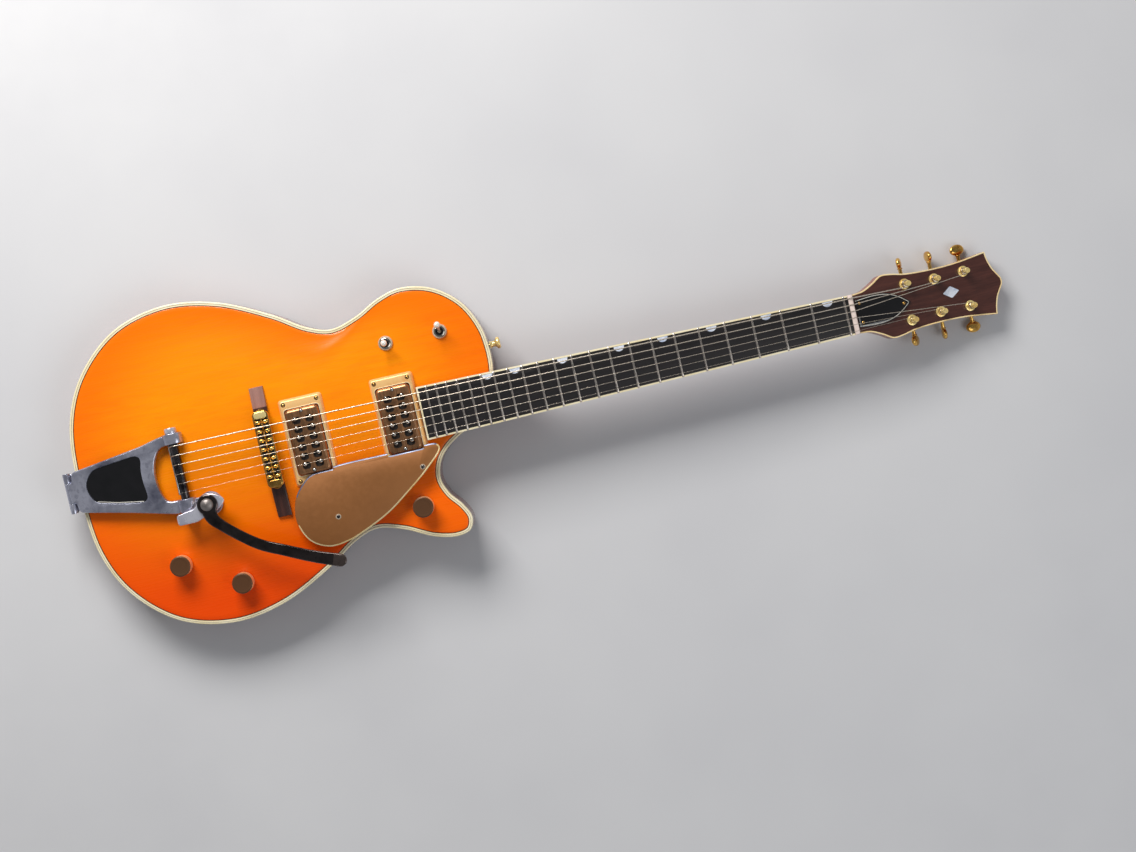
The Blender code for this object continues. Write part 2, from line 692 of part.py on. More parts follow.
def make_neck():
    twelfth = SCALE / 2
    stations = ((HEEL_START, HEEL_DEPTH, 4.5), (HEEL_START + 0.012, HEEL_DEPTH - 0.001, 4.2),
                (HEEL_START + 0.020, HEEL_DEPTH - 0.005, 3.6),
                (HEEL_START + 0.028, NECK_DEPTH_AT_TWELFTH + 0.010, 3.0),
                (HEEL_START + 0.038, NECK_DEPTH_AT_TWELFTH + 0.004, 2.6),
                (HEEL_START + 0.050, NECK_DEPTH_AT_TWELFTH + 0.001, 2.3),
                (twelfth + 0.020, NECK_DEPTH_AT_TWELFTH, 2.2),
                (SCALE - 0.020, NECK_DEPTH_AT_NUT, 2.2),
                (SCALE - 0.004, NECK_DEPTH_AT_NUT + 0.0005, 2.3),
                (SCALE + NUT_GAP - 0.0003, NECK_DEPTH_AT_NUT + 0.0008, 2.4))
    neck = loft("neck", [neck_section(*station) for station in stations])
    tenon = tool(boxes("tenon", [
        ((BOARD_END + TOUCH, -TENON_WIDTH / 2, -BOARD_THICKNESS - TENON_DEPTH),
         (HEEL_START + 0.004, TENON_WIDTH / 2, -BOARD_THICKNESS - 2 * TOUCH))]), neck_frame)
    head = tool(solid_plate("head_slab", [head_outline()], -HEAD_THICKNESS, 0.0), head_frame)
    rod_low = -BOARD_THICKNESS - ROD_DEPTH
    rod_start = HEEL_START + ROD_START
    rod_end = HEAD_X + ROD_INTO_HEAD
    half = TRUSS_ROD_RADIUS + RUNNING
    channel = tool(boxes("rod_channel", [((rod_start - 0.002, -half, rod_low - half),
                                          (rod_end + ROD_SPACE, half, 0.002))]), neck_frame)
    holes = tool(rods("tuner_holes", [((x, side * y), BUSHING_RADIUS + TOUCH, -0.03, 0.01)
                                      for x, y in POST_PLACES for side in (1, -1)], 10), head_frame)
    join(neck, tenon, head)
    cut(neck, channel, holes)
    finish(neck, MAPLE, neck_frame, smooth=35)

    rod = cross_rods("truss_rod", [((0, 0), TRUSS_ROD_RADIUS, 0, rod_end - rod_start)], 10)
    rod.rotation_euler.z = -math.pi / 2
    rod.location = (rod_start, 0.0, rod_low)
    finish(rod, STEEL, neck_frame)


def board_section(x, low, rise=0.0, inset_by=0.0):
    half = board_half_width(x) - inset_by
    y = np.linspace(-half, half, 3)
    top = np.column_stack([np.full(3, x), y, rise - crown(y)])
    return np.concatenate([[(x, half, low), (x, -half, low)], top])


def fret_place(number):
    """Distance from the saddles to a fret: each is a twelfth root of two closer."""
    return SCALE * 2 ** (-number / 12)


def make_fingerboard():
    nut_face = SCALE + NUT_GAP - TOUCH
    board = loft("fingerboard", [board_section(BOARD_END, -BOARD_THICKNESS),
                                 board_section(nut_face, -BOARD_THICKNESS)])
    shape = bmesh.new()
    places = [fret_place(number) for number in range(FRETS + 1)]
    for x in [place for place in places if place > BOARD_END + FRET_WIDTH]:
        sections = [board_section(x + side * FRET_WIDTH / 2, -0.0025, FRET_HEIGHT, 0.0012)
                    for side in (-1, 1)]
        rows = [[shape.verts.new(point) for point in ring] for ring in sections]
        for low, high in zip(rows, rows[1:]):
            for i in range(5):
                shape.faces.new((low[i], low[(i + 1) % 5], high[(i + 1) % 5], high[i]))
        shape.faces.new(rows[0][::-1])
        shape.faces.new(rows[-1])
    join(board, tool(mesh_object("frets", shape), neck_frame))
    finish(board, EBONY, neck_frame, smooth=30)

    half = board_half_width(SCALE)
    low = -HEAD_DROP + 0.0012
    nut = boxes("nut", [((SCALE + NUT_GAP, -half, low), (SCALE + NUT_GAP + NUT_THICKNESS, half, NUT_HEIGHT))])
    softened = nut.modifiers.new("soft_edges", "BEVEL")
    softened.width = 0.0006
    softened.segments = 1
    finish(nut, BONE, neck_frame)


def make_rod_cover():
    outline = mirrored(spline(ROD_COVER, 3))
    finish(plate("truss_rod_cover", [outline], TOUCH, TOUCH + ROD_COVER_THICKNESS), BLACK, head_frame)


# Tuners

def make_tuners():
    for side_name, side, turns in (("bass", 1, BUTTON_TURNS[0]), ("treble", -1, BUTTON_TURNS[1])):
        for number, ((x, y), turn) in enumerate(zip(POST_PLACES, turns), 1):
            make_tuner(f"{side_name}_{number}", x, side * y, side, math.radians(turn))


def make_tuner(label, x, y, side, turn):
    top = -HEAD_THICKNESS - TOUCH
    length, width, depth = HOUSING_SIZE
    shaft_z = top - depth / 2
    place = frame(f"tuner_{label}", (x, y, 0.0), parent=head_frame)

    low_x = -length / 2 + SHAFT_OFFSET / 2
    housing = boxes(f"tuner_housing_{label}", [((low_x, -width / 2, top - depth),
                                                (low_x + length, width / 2, top))])
    soft = housing.modifiers.new("soft_edges", "BEVEL")
    soft.width = 0.0012
    soft.segments = 1
    bushing = tool(rods(f"bushing_{label}", [((0, 0), BUSHING_RADIUS, top - 0.002, 0.001)], 10), place)
    nut = tool(rods(f"bushing_nut_{label}", [((0, 0), TUNER_NUT_RADIUS, TOUCH, 0.0022)], 10), place)
    bore = tool(rods(f"post_bore_{label}", [
        ((0, 0), POST_RADIUS + 1.5 * RUNNING, top - depth + 0.0015, 0.01)], 10), place)
    shaft_bore = tool(cross_rods(f"shaft_bore_{label}", [
        ((SHAFT_OFFSET, shaft_z), SHAFT_RADIUS + 1.5 * RUNNING, *sorted((-side * 0.003, side * 0.02)))], 8),
        place)
    join(housing, bushing, nut)
    cut(housing, bore, shaft_bore)
    finish(housing, GOLD, place)

    foot = top - depth + 0.0015 + TOUCH
    post = lathe(f"tuner_post_{label}", [
        (0, POST_RISE), (POST_RADIUS * 0.8, POST_RISE), (POST_RADIUS, POST_RISE - 0.0008),
        (POST_RADIUS, WINDING_HEIGHT + 0.0035), (POST_RADIUS * 0.85, WINDING_HEIGHT + 0.0020),
        (POST_RADIUS * 0.85, WINDING_HEIGHT - 0.0015), (POST_RADIUS, WINDING_HEIGHT - 0.0025),
        (POST_RADIUS, foot), (0, foot)], 8)
    finish(post, GOLD, place)

    reach_out = BUTTON_REACH - abs(y)
    long, tall, thick = BUTTON_SIZE
    angles = np.linspace(0, 2 * math.pi, 10, endpoint=False)
    oval = np.stack([long / 2 * np.cos(angles), tall / 2 * np.sin(angles)], axis=1)
    rings = []
    for share, height in ((0.72, -0.5), (1.0, -0.22), (1.0, 0.22), (0.72, 0.5)):
        ring = oval * share
        rings.append(np.column_stack([ring[:, 0], ring[:, 1] + side * reach_out,
                                      np.full(len(ring), height * thick)]))
    button = loft(f"tuner_button_{label}", rings)
    stem_end = side * (reach_out - tall / 2 + 0.002)
    stem = cross_rods(f"button_stem_{label}", [
        ((0, 0), SHAFT_RADIUS, *sorted((-side * 0.0027, stem_end)))], 8)
    collar_at = width / 2 + 0.0006
    collar = cross_rods(f"button_collar_{label}", [
        ((0, 0), SHAFT_RADIUS * 1.7, *sorted((side * collar_at, side * (collar_at + 0.002))))], 8)
    pivot = frame(f"tuner_shaft_{label}", (SHAFT_OFFSET, 0.0, shaft_z), (0.0, turn, 0.0), place)
    join(button, tool(stem, pivot), tool(collar, pivot))
    finish(button, GOLD, pivot)


# Pickups

def seat():
    """Solid under the arched top's surface, raised by the touching gap, to shape what rests on it."""
    rings = [level_ring(INNER, RIM_HEIGHT - BORE_DEPTH), *arched_rings(INNER, TOUCH, TOP_SHARES)]
    return tool(loft("top_seat", rings))


def make_pickups(top_seat):
    for name, x in PICKUP_PLACES.items():
        hole = rounded_rectangle(COVER_WIDTH + 4 * TOUCH, COVER_LENGTH + 4 * TOUCH, 0.003)
        foot, high = RIM_HEIGHT + RING_FOOT, RING_TOPS[name]
        rings = []
        for shrink, height in ((0.0, foot), (0.0, high - 0.0050), (RING_DRAFT, high)):
            edge = rounded_rectangle(RING_WIDTH - 2 * shrink, RING_LENGTH - 2 * shrink, 0.003)
            rings.append(level_ring(moved(edge, x, 0), height))
        ring = loft(f"{name}_pickup_ring", rings)
        opening = tool(solid_plate(f"{name}_ring_opening", [moved(hole, x, 0)],
                                   foot - 0.001, high + 0.001))
        cut(ring, opening, top_seat)
        finish(ring, GOLD)

        top = COVER_TOPS[name]
        rings = []
        for shrink, height in ((0.0, top - COVER_DEPTH), (0.0, top - 0.0050), (0.0008, top - 0.0022),
                               (0.0026, top)):
            outline = rounded_rectangle(COVER_WIDTH - 2 * shrink, COVER_LENGTH - 2 * shrink, 0.004)
            rings.append(level_ring(moved(outline, x, 0), height))
        pickup = loft(f"{name}_pickup", rings)
        window = rounded_rectangle(WINDOW_WIDTH, WINDOW_LENGTH, 0.003)
        floor = top - WINDOW_DEPTH
        recess = tool(solid_plate(f"{name}_window", [moved(window, x, 0)], floor, top + 0.002))
        poles = tool(rods(f"{name}_poles", [
            ((x + row * POLE_ROWS / 2, (i - 2.5) * POLE_SPACING), POLE_RADIUS, floor - 0.001, top + 0.0004)
            for row in (-1, 1) for i in range(6)], 6))
        cut(pickup, recess)
        join(pickup, poles)
        finish(pickup, GOLD)


def make_pickguard(top_seat):
    guard = solid_plate("pickguard", [spline(GUARD_EDGE, 2, closed=True)],
                        GUARD_BOTTOM, GUARD_BOTTOM + GUARD_THICKNESS)
    spacers = tool(rods("guard_spacers", [
        ((x, y), SPACER_RADIUS, top_height(x, y) - 0.002, GUARD_BOTTOM + 0.001)
        for x, y in GUARD_SCREWS], 10))
    cut(spacers, top_seat)
    heads = tool(rods("guard_screws", [
        ((x, y), SPACER_RADIUS * 0.8, GUARD_BOTTOM, GUARD_BOTTOM + GUARD_THICKNESS + 0.0010)
        for x, y in GUARD_SCREWS], 10))
    notches = tool(boxes("guard_notches", [
        ((x - COVER_WIDTH / 2 - 2 * TOUCH, -COVER_LENGTH / 2 - 2 * TOUCH, GUARD_BOTTOM - 0.001),
         (x + COVER_WIDTH / 2 + 2 * TOUCH, 0.0, GUARD_BOTTOM + GUARD_THICKNESS + 0.001))
        for x in PICKUP_PLACES.values()]))
    cut(guard, notches)
    join(guard, spacers, heads)
    finish(guard, SATIN_GOLD)


# Bridge

def string_spacing(x):
    """Spacing of the strings between the saddles and the nut, which grows evenly to the saddles."""
    share = x / SCALE
    return (SADDLE_SPREAD + (NUT_SPREAD - SADDLE_SPREAD) * share) / 5


def make_bridge(top_seat):
    low, high = -BASE_LENGTH / 2 - BASE_SHIFT, BASE_LENGTH / 2 - BASE_SHIFT
    foot = RIM_HEIGHT + BASE_FOOT
    side = [(low, foot), (high, foot), (high, BASE_END_TOP - 0.0012), (high - 0.0012, BASE_END_TOP),
            (BAR_LENGTH / 2 + 0.005, BASE_TOP - 0.0010), (BAR_LENGTH / 2 + 0.002, BASE_TOP),
            (-BAR_LENGTH / 2 - 0.002, BASE_TOP), (-BAR_LENGTH / 2 - 0.005, BASE_TOP - 0.0010),
            (low + 0.0012, BASE_END_TOP), (low, BASE_END_TOP - 0.0012)]
    rings = [[(x, y, z) for y, z in side] for x in (-BASE_WIDTH / 2, BASE_WIDTH / 2)]
    base = loft("bridge_base", rings)
    relief = tool(boxes("base_relief", [((-BASE_WIDTH, -BASE_RELIEF / 2, RIM_HEIGHT),
                                         (BASE_WIDTH, BASE_RELIEF / 2, BASE_TOP - BASE_MIDDLE))]))
    studs = tool(rods("bridge_studs", [((0, s * STUD_SPACING / 2), STUD_RADIUS, BASE_TOP - 0.002,
                                        BAR_BOTTOM + 0.004) for s in (1, -1)], 10))
    wheels = tool(rods("height_wheels", [((0, s * STUD_SPACING / 2), WHEEL_RADIUS, BASE_TOP + TOUCH,
                                          BAR_BOTTOM - TOUCH) for s in (1, -1)], 16))
    cut(base, top_seat, relief)
    join(base, studs, wheels)
    finish(base, ROSEWOOD)

    outline = rounded_rectangle(BAR_WIDTH, BAR_LENGTH, 0.0040, 3)
    rings = [level_ring(outline, BAR_BOTTOM), level_ring(outline, BAR_TOP - 0.0030),
             level_ring(outline * (0.86, 0.975), BAR_TOP)]
    bar = loft("bridge_bar", rings)
    deck = BAR_TOP - 0.0024
    channel = tool(boxes("saddle_channel", [((-0.0062, -0.0336, deck), (0.0062, 0.0336, BAR_TOP + 0.002))]))
    stud_holes = tool(rods("stud_holes", [((0, s * STUD_SPACING / 2), STUD_RADIUS + RUNNING,
                                           BAR_BOTTOM - 0.001, BAR_BOTTOM + 0.0045) for s in (1, -1)], 10))
    spacing = string_spacing(0.0)
    beads = tool(cross_rods("saddle_beads", [
        ((s * BEAD_ROWS / 2, deck + 0.0008), BEAD_RADIUS,
         (i - 3) * spacing - 0.0026, (i - 3) * spacing + 0.0026)
        for s in (1, -1) for i in range(7)], 8))
    rollers = tool(cross_rods("saddle_rollers", [
        ((0, SADDLE_HEIGHT - 0.0035), 0.0035, (i - 2.5) * spacing - 0.0011, (i - 2.5) * spacing + 0.0011)
        for i in range(6)], 8))
    cut(bar, channel, stud_holes)
    join(bar, beads, rollers)
    finish(bar, GOLD)


# Controls

def make_controls():
    for name, (x, y) in KNOB_PLACES.items():
        surface = float(top_height(x, y))
        under = surface - PANEL - TOUCH
        axis = frame(f"{name}_axis", (x, y, 0.0))
        low = surface + KNOB_LIFT + 0.0010
        high = low + KNOB_HEIGHT
        knob = lathe(name, [
            (0, high), (KNOB_RADIUS * 0.86, high), (KNOB_RADIUS * 0.97, high - 0.0004),
            (KNOB_RADIUS, high - 0.0012), (KNOB_RADIUS, high - 0.0090),
            (KNOB_RADIUS * 0.93, high - 0.0095), (KNOB_RADIUS * 0.93, low), (POT_SHAFT_RADIUS, low),
            (POT_SHAFT_RADIUS, under - 0.0040), (0, under - 0.0040)], 16)
        finish(knob, GOLD, axis)
        inner = POT_SHAFT_RADIUS + RUNNING
        pot = lathe(name.replace("knob", "pot"), [
            (inner, surface + KNOB_LIFT), (POT_NUT_RADIUS, surface + KNOB_LIFT),
            (POT_NUT_RADIUS, surface + TOUCH), (POT_BUSHING_RADIUS, surface + TOUCH),
            (POT_BUSHING_RADIUS, under), (POT_RADIUS, under), (POT_RADIUS, under - POT_DEPTH),
            (0, under - POT_DEPTH), (0, under - 0.0043), (inner, under - 0.0043)], 12, closed=True)
        finish(pot, STEEL, axis)

    for name, (x, y) in SWITCH_PLACES.items():
        surface = float(top_height(x, y))
        under = surface - PANEL - TOUCH
        axis = frame(f"{name}_axis", (x, y, 0.0))
        top = surface + SWITCH_RISE
        pivot = top - 0.0018
        body = lathe(f"{name}_body", [
            (SWITCH_BORE, top), (SWITCH_BUSHING_RADIUS * 0.9, top), (SWITCH_BUSHING_RADIUS, top - 0.0008),
            (SWITCH_BUSHING_RADIUS, surface + 0.0024), (SWITCH_NUT_RADIUS, surface + 0.0020),
            (SWITCH_NUT_RADIUS, surface + TOUCH), (SWITCH_BUSHING_RADIUS, surface + TOUCH),
            (SWITCH_BUSHING_RADIUS, under), (SWITCH_CAN_RADIUS, under),
            (SWITCH_CAN_RADIUS, under - SWITCH_CAN_DEPTH), (0, under - SWITCH_CAN_DEPTH),
            (0, pivot - 0.0028), (0.0016, pivot - 0.0028), (SWITCH_BORE, pivot - 0.0006)],
            12, closed=True)
        finish(body, STEEL, axis)
        lever = lathe(f"{name}_lever", [
            (0, LEVER_LENGTH), (0.0015, LEVER_LENGTH - 0.0003), (0.0026, LEVER_LENGTH - 0.0015),
            (0.0028, LEVER_LENGTH - 0.0040), (0.0019, LEVER_LENGTH - 0.0100), (0.0013, 0.0024),
            (0.0020, 0.0008), (0.0023, -0.0004), (0.0016, -0.0018), (0, -0.0024)], 8)
        hinge = frame(f"{name}_pivot", (0.0, 0.0, pivot), (LEVER_LEANS[name], 0.0, 0.0), axis)
        finish(lever, STEEL, hinge)

    point, direction = edge_place(JACK_ANGLE)
    jack = lathe("output_jack", [
        (JACK_BORE, 0.0030), (0.0058, 0.0030), (0.0062, 0.0024), (0.0062, 0.0018),
        (JACK_FLANGE - 0.0006, 0.0018), (JACK_FLANGE, 0.0013), (JACK_FLANGE, 0.0006),
        (JACK_RADIUS, 0.0006), (JACK_RADIUS, -JACK_LENGTH), (JACK_BORE, -JACK_LENGTH)], 14, closed=True)
    finish(sideways(jack, point, direction, JACK_HEIGHT), GOLD)


def make_strap_buttons():
    tail_face = HINGE_PLATE + 2 * TOUCH
    upper = edge_place(UPPER_STRAP_ANGLE)
    lower = ((TAIL, 0.0), (-1.0, 0.0))
    for name, (point, direction), seat_at in (("upper_strap_button", upper, 0.0008),
                                              ("tail_strap_button", lower, tail_face + TOUCH)):
        tip = seat_at + STRAP_LENGTH
        screw = STRAP_STEM_RADIUS / 2
        button = lathe(name, [
            (0, tip), (STRAP_HEAD_RADIUS * 0.8, tip), (STRAP_HEAD_RADIUS, tip - 0.0012),
            (STRAP_HEAD_RADIUS, tip - 0.0032), (STRAP_HEAD_RADIUS * 0.85, tip - 0.0040),
            (STRAP_STEM_RADIUS, tip - 0.0052), (STRAP_STEM_RADIUS, seat_at + 0.0022),
            (STRAP_HEAD_RADIUS * 0.75, seat_at), (screw, seat_at), (screw, -0.0100), (0, -0.0120)], 12)
        finish(sideways(button, point, direction, STRAP_HEIGHT), GOLD)


# Vibrato tailpiece

def make_vibrato():
    tail = frame("vibrato_hinge_axis", (HINGE_X, 0.0, HINGE_Z), (0.0, -FRAME_TILT, 0.0))
    half = FRAME_THICKNESS / 2
    hinge_y = HINGE_HALF_WIDTH
    inner_y = hinge_y - 0.0105

    # Frame casting, with places counted from the hinge
    plan = [(0.0060, -hinge_y), (0.0600, -0.0335), (0.1090, -0.0458), (0.1295, -0.0458), (0.1310, -0.0440),
            (0.1310, -0.0335), (0.1290, -0.0315), (0.1030, -0.0315), (0.0975, -0.0260), (0.0942, -0.0120),
            (0.0940, 0.0010), (0.0965, 0.0120), (0.1010, 0.0210), (0.1070, 0.0272), (0.1280, 0.0272),
            (0.1300, 0.0290), (0.1300, 0.0370), (0.1280, 0.0388), (0.1085, 0.0378), (0.0860, 0.0325),
            (0.0190, 0.0232), (0.0060, hinge_y), (0.0060, inner_y), (0.0, inner_y), (0.0, -inner_y),
            (0.0060, -inner_y)]
    casting = solid_plate("vibrato_frame", [plan], -half, half)
    panel = [(0.0200, 0.0040), (0.0235, 0.0122), (0.0318, 0.0178), (0.0730, 0.0237), (0.0800, 0.0225),
             (0.0825, 0.0175), (0.0806, 0.0030), (0.0820, -0.0165), (0.0800, -0.0245), (0.0740, -0.0265),
             (0.0290, -0.0165), (0.0222, -0.0100)]
    recess = tool(solid_plate("panel_recess", [panel], half - 0.0015, half + 0.002), tail)
    axle_x = AXLE_X - HINGE_X
    reach = BEARING_LENGTH / 2
    bearings = tool(boxes("bearing_blocks", [
        ((axle_x - reach, low, 0.0), (axle_x + reach, high, half + 0.0060)) for low, high in
        ((BASS_BEARING[0] + 0.0003, BASS_BEARING[1]), (TREBLE_BEARING[0], TREBLE_BEARING[1]))]), tail)
    knuckle = tool(cross_rods("frame_knuckle", [
        ((0, 0), KNUCKLE_RADIUS, -inner_y + TOUCH, inner_y - TOUCH)], 12), tail)
    way = KNUCKLE_RADIUS + 2 * TOUCH
    knuckle_way = tool(boxes("knuckle_way", [
        ((-0.01, inner_y - TOUCH, -0.01), (way, 0.03, 0.01)),
        ((-0.01, -0.03, -0.01), (way, -inner_y + TOUCH, 0.01))]), tail)
    bore = tool(cross_rods("axle_bore", [((AXLE_X, AXLE_Z), AXLE_RADIUS + 1.3 * RUNNING, -0.1, 0.1)], 14))
    pin_bore = tool(cross_rods("hinge_bore", [((0, 0), HINGE_PIN_RADIUS + RUNNING, -0.03, 0.03)], 8), tail)
    cup = tool(rods("spring_cup", [(PIVOT, CUP_RADIUS, CUP_HEIGHT - 0.0030, CUP_HEIGHT)], 14))
    cup_arm = tool(boxes("spring_cup_arm", [((PIVOT[0] - 0.020, PIVOT[1] - 0.0033, CUP_HEIGHT - 0.0030),
                                             (PIVOT[0], PIVOT[1] + 0.0087, CUP_HEIGHT))]))
    cut(casting, recess)
    join(casting, bearings, knuckle, cup, cup_arm)
    cut(casting, knuckle_way, bore, pin_bore)
    finish(casting, ALUMINIUM, tail)

    # Hinge plate, screwed to the tail under the strap button
    outside = TAIL - TOUCH * 2 - HINGE_PLATE
    plate_y = hinge_y - 0.0015
    hinge = boxes("hinge_plate", [((outside, -plate_y, HINGE_PLATE_BOTTOM),
                                   (outside + HINGE_PLATE, plate_y, HINGE_Z - KNUCKLE_RADIUS - 0.0025))])
    shelf_top = HINGE_Z - KNUCKLE_RADIUS - 0.0012
    shelf = tool(boxes("hinge_shelf", [((HINGE_X - KNUCKLE_RADIUS, -plate_y, shelf_top - 0.0022),
                                        (outside + HINGE_PLATE, plate_y, shelf_top))]))
    ears = tool(boxes("hinge_ears", [((HINGE_X - KNUCKLE_RADIUS, low, shelf_top - 0.001),
                                      (HINGE_X + KNUCKLE_RADIUS, high, HINGE_Z)) for low, high in
                                     ((inner_y + TOUCH, hinge_y), (-hinge_y, -inner_y - TOUCH))]))
    tubes = tool(cross_rods("hinge_tubes", [((HINGE_X, HINGE_Z), KNUCKLE_RADIUS, low, high) for low, high in
                                            ((inner_y + TOUCH, hinge_y), (-hinge_y, -inner_y - TOUCH))], 12))
    pin = tool(cross_rods("hinge_pin", [((HINGE_X, HINGE_Z), HINGE_PIN_RADIUS, -hinge_y, hinge_y)], 8))
    strap = tool(sideways(rods("plate_hole", [((0, 0), STRAP_STEM_RADIUS / 2 + TOUCH, -0.001, 0.006)], 10),
                          (TAIL, 0.0), (-1.0, 0.0), STRAP_HEIGHT))
    join(hinge, shelf, ears, tubes, pin)
    cut(hinge, strap)
    finish(hinge, ALUMINIUM)

    # String axle with its pins and the strings' ball ends
    axis = frame("vibrato_axis", (AXLE_X, 0.0, AXLE_Z))
    axle = cross_rods("string_axle", [((0, 0), AXLE_RADIUS, AXLE_END, BASS_BEARING[1] - 0.0003)], 14)
    places = [(2.5 - i) * AXLE_SPREAD / 5 for i in range(6)]
    pins = []
    for y in places:
        pins.append(((-AXLE_RADIUS * 0.75, y), PIN_RADIUS, -AXLE_RADIUS * 0.9, 0.0))
    pin_rods = tool(rods("string_pins", pins, 6), axis)
    ball_rods = tool(cross_rods("ball_ends", [((-AXLE_RADIUS * 0.75, -AXLE_RADIUS), BALL_RADIUS, y - 0.0016,
                                               y + 0.0016) for y in places], 6), axis)
    join(axle, pin_rods, ball_rods)
    finish(axle, STEEL, axis)

    # Arm bracket: a clamp on the axle's end, a plate over the spring and the pivot bolt
    clamp_y = TREBLE_BEARING[0] - 0.0012
    bottom = BRACKET_BOTTOM
    high = bottom + BRACKET_THICKNESS
    px, py = PIVOT
    outline = [(AXLE_X - 0.0110, CLAMP_END), (AXLE_X + 0.0095, CLAMP_END), (px - 0.004, py - 0.0115),
               (px + 0.006, py - 0.0095), (px + 0.0135, py - 0.0045), (px + 0.0185, py + 0.0010),
               (px + 0.0150, py + 0.0060), (px + 0.0080, py + 0.0100), (px, py + 0.0120),
               (px - 0.0075, py + 0.0095), (px - 0.0140, py - 0.0010), (AXLE_X - 0.0110, clamp_y)]
    bracket = solid_plate("arm_bracket", [outline], bottom, high)
    clamp = tool(boxes("axle_clamp", [((AXLE_X - 0.0075, CLAMP_END + 0.0005, AXLE_Z - AXLE_RADIUS - 0.0025),
                                       (AXLE_X + 0.0075, clamp_y, bottom + 0.001))]))
    clamp_bore = tool(cross_rods("clamp_bore", [
        ((AXLE_X, AXLE_Z), AXLE_RADIUS + RUNNING, AXLE_END - 0.0003, 0.0)], 14))
    bolt = tool(rods("pivot_bolt", [(PIVOT, BOLT_RADIUS, high - 0.001, high + ARM_THICKNESS + 0.002)], 12))
    arm_top = high + TOUCH + ARM_THICKNESS
    head = tool(rods("bolt_head", [
        (PIVOT, BOLT_HEAD_RADIUS, arm_top + TOUCH, arm_top + BOLT_HEAD_HEIGHT)], 12))
    join(bracket, clamp, bolt, head)
    cut(bracket, clamp_bore)
    finish(bracket, ALUMINIUM, None)

    # Arm: a flat bar along a curve, wider at its rounded tip, with a round eye on the bolt
    path = spline(ARM_PATH, 3)
    along = np.gradient(path, axis=0)
    along /= np.linalg.norm(along, axis=1)[:, None]
    left = np.stack([-along[:, 1], along[:, 0]], axis=1)
    share = np.linspace(0, 1, len(path))
    root = np.maximum(1 - share / 0.35, 0) ** 1.5
    widths = ARM_WIDTH + (ARM_TIP_WIDTH - ARM_WIDTH) * share ** 3 + (ARM_ROOT_WIDTH - ARM_WIDTH) * root
    widths = widths[:, None] / 2
    tip_turn = np.linspace(-math.pi / 2, math.pi / 2, 7)[1:-1]
    end, ahead, aside = path[-1], along[-1], left[-1]
    cap = [end + ARM_TIP_WIDTH / 2 * (math.cos(a) * ahead + math.sin(a) * aside) for a in tip_turn]
    outline = np.concatenate([(path - widths * left)[1:], cap, (path + widths * left)[1:][::-1]])
    arm = solid_plate("vibrato_arm", [outline], high + TOUCH, arm_top)
    eye = tool(rods("arm_eye", [(PIVOT, BOSS_RADIUS, high + TOUCH, arm_top)], 16))
    hole = tool(rods("arm_hole", [(PIVOT, BOLT_RADIUS + 1.5 * RUNNING, high - 0.001, arm_top + 0.001)], 12))
    join(arm, eye)
    cut(arm, hole)
    finish(arm, DARK_METAL)

    make_spring()


def make_spring():
    """Round wire on a helix: one unbroken tube whose turns stay apart."""
    low = CUP_HEIGHT + TOUCH + SPRING_WIRE / 2
    high = BRACKET_BOTTOM - TOUCH - SPRING_WIRE / 2
    count = round(SPRING_TURNS * TURN_POINTS) + 1
    share = np.linspace(0, 1, count)
    angle = share * SPRING_TURNS * 2 * math.pi
    points = np.column_stack([PIVOT[0] + SPRING_RADIUS * np.cos(angle),
                              PIVOT[1] + SPRING_RADIUS * np.sin(angle), low + (high - low) * share])
    distance = np.linalg.norm(points[:, None] - points[None], axis=2)
    index = np.arange(count)
    apart = np.abs(index[:, None] - index[None]) > TURN_POINTS // 2
    print(f"spring: least gap to itself {1000 * (distance[apart].min() - SPRING_WIRE):.2f} mm")
    finish(wire("vibrato_spring", points, SPRING_WIRE / 2), STEEL)


# Strings

def in_neck(x, y, z):
    """A place in the neck's frame, in the guitar's frame."""
    c, s = math.cos(NECK_PITCH), math.sin(NECK_PITCH)
    return np.array((x * c + z * s, y, BOARD_HEIGHT_AT_SADDLE - x * s + z * c))


def in_head(x, y, z):
    """A place in the headstock's frame, in the guitar's frame."""
    c, s = math.cos(HEAD_ANGLE), math.sin(HEAD_ANGLE)
    return in_neck(HEAD_X + x * c + z * s, y, -HEAD_DROP - x * s + z * c)


def make_strings():
    for number, diameter in enumerate(STRING_DIAMETERS):
        radius = diameter / 2
        side = 1 if number < 3 else -1
        index = number if side == 1 else 5 - number
        across = (2.5 - number) / 5
        clear = radius + TOUCH
        nut_y = across * NUT_SPREAD
        post_x, post_y = POST_PLACES[index]
        post_y *= side
        touch_y = post_y - side * (POST_RADIUS * 0.85 + clear)
        points = [
            (AXLE_X + 0.001, across * AXLE_SPREAD, AXLE_Z + AXLE_RADIUS + clear),
            (0.0, across * SADDLE_SPREAD, SADDLE_HEIGHT + clear),
            in_neck(SCALE, nut_y, FRET_HEIGHT + clear),
            in_neck(SCALE + NUT_GAP + NUT_THICKNESS / 2, nut_y, NUT_HEIGHT + clear),
            in_head(post_x, touch_y, WINDING_HEIGHT)]
        finish(wire(f"string_{number + 1}", points, radius), STEEL)


make_body()
make_neck()
make_fingerboard()
make_rod_cover()
make_tuners()
TOP_SEAT = seat()
make_pickups(TOP_SEAT)
make_pickguard(TOP_SEAT)
make_bridge(TOP_SEAT)
make_controls()
make_strap_buttons()
make_vibrato()
make_strings()
bpy.context.view_layer.update()
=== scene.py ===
"""Looks of a single-cutaway electric guitar with an arched orange top and a vibrato tailpiece.

Shapes are worked out in millimetres in the guitar's own frame, as numpy grids and profiles carried
along paths. Each new piece stands for one node of the packed model and rides on its body.
"""

import math

import bmesh
import bpy
import numpy as np
from mathutils import Matrix, Vector
from mathutils.geometry import tessellate_polygon


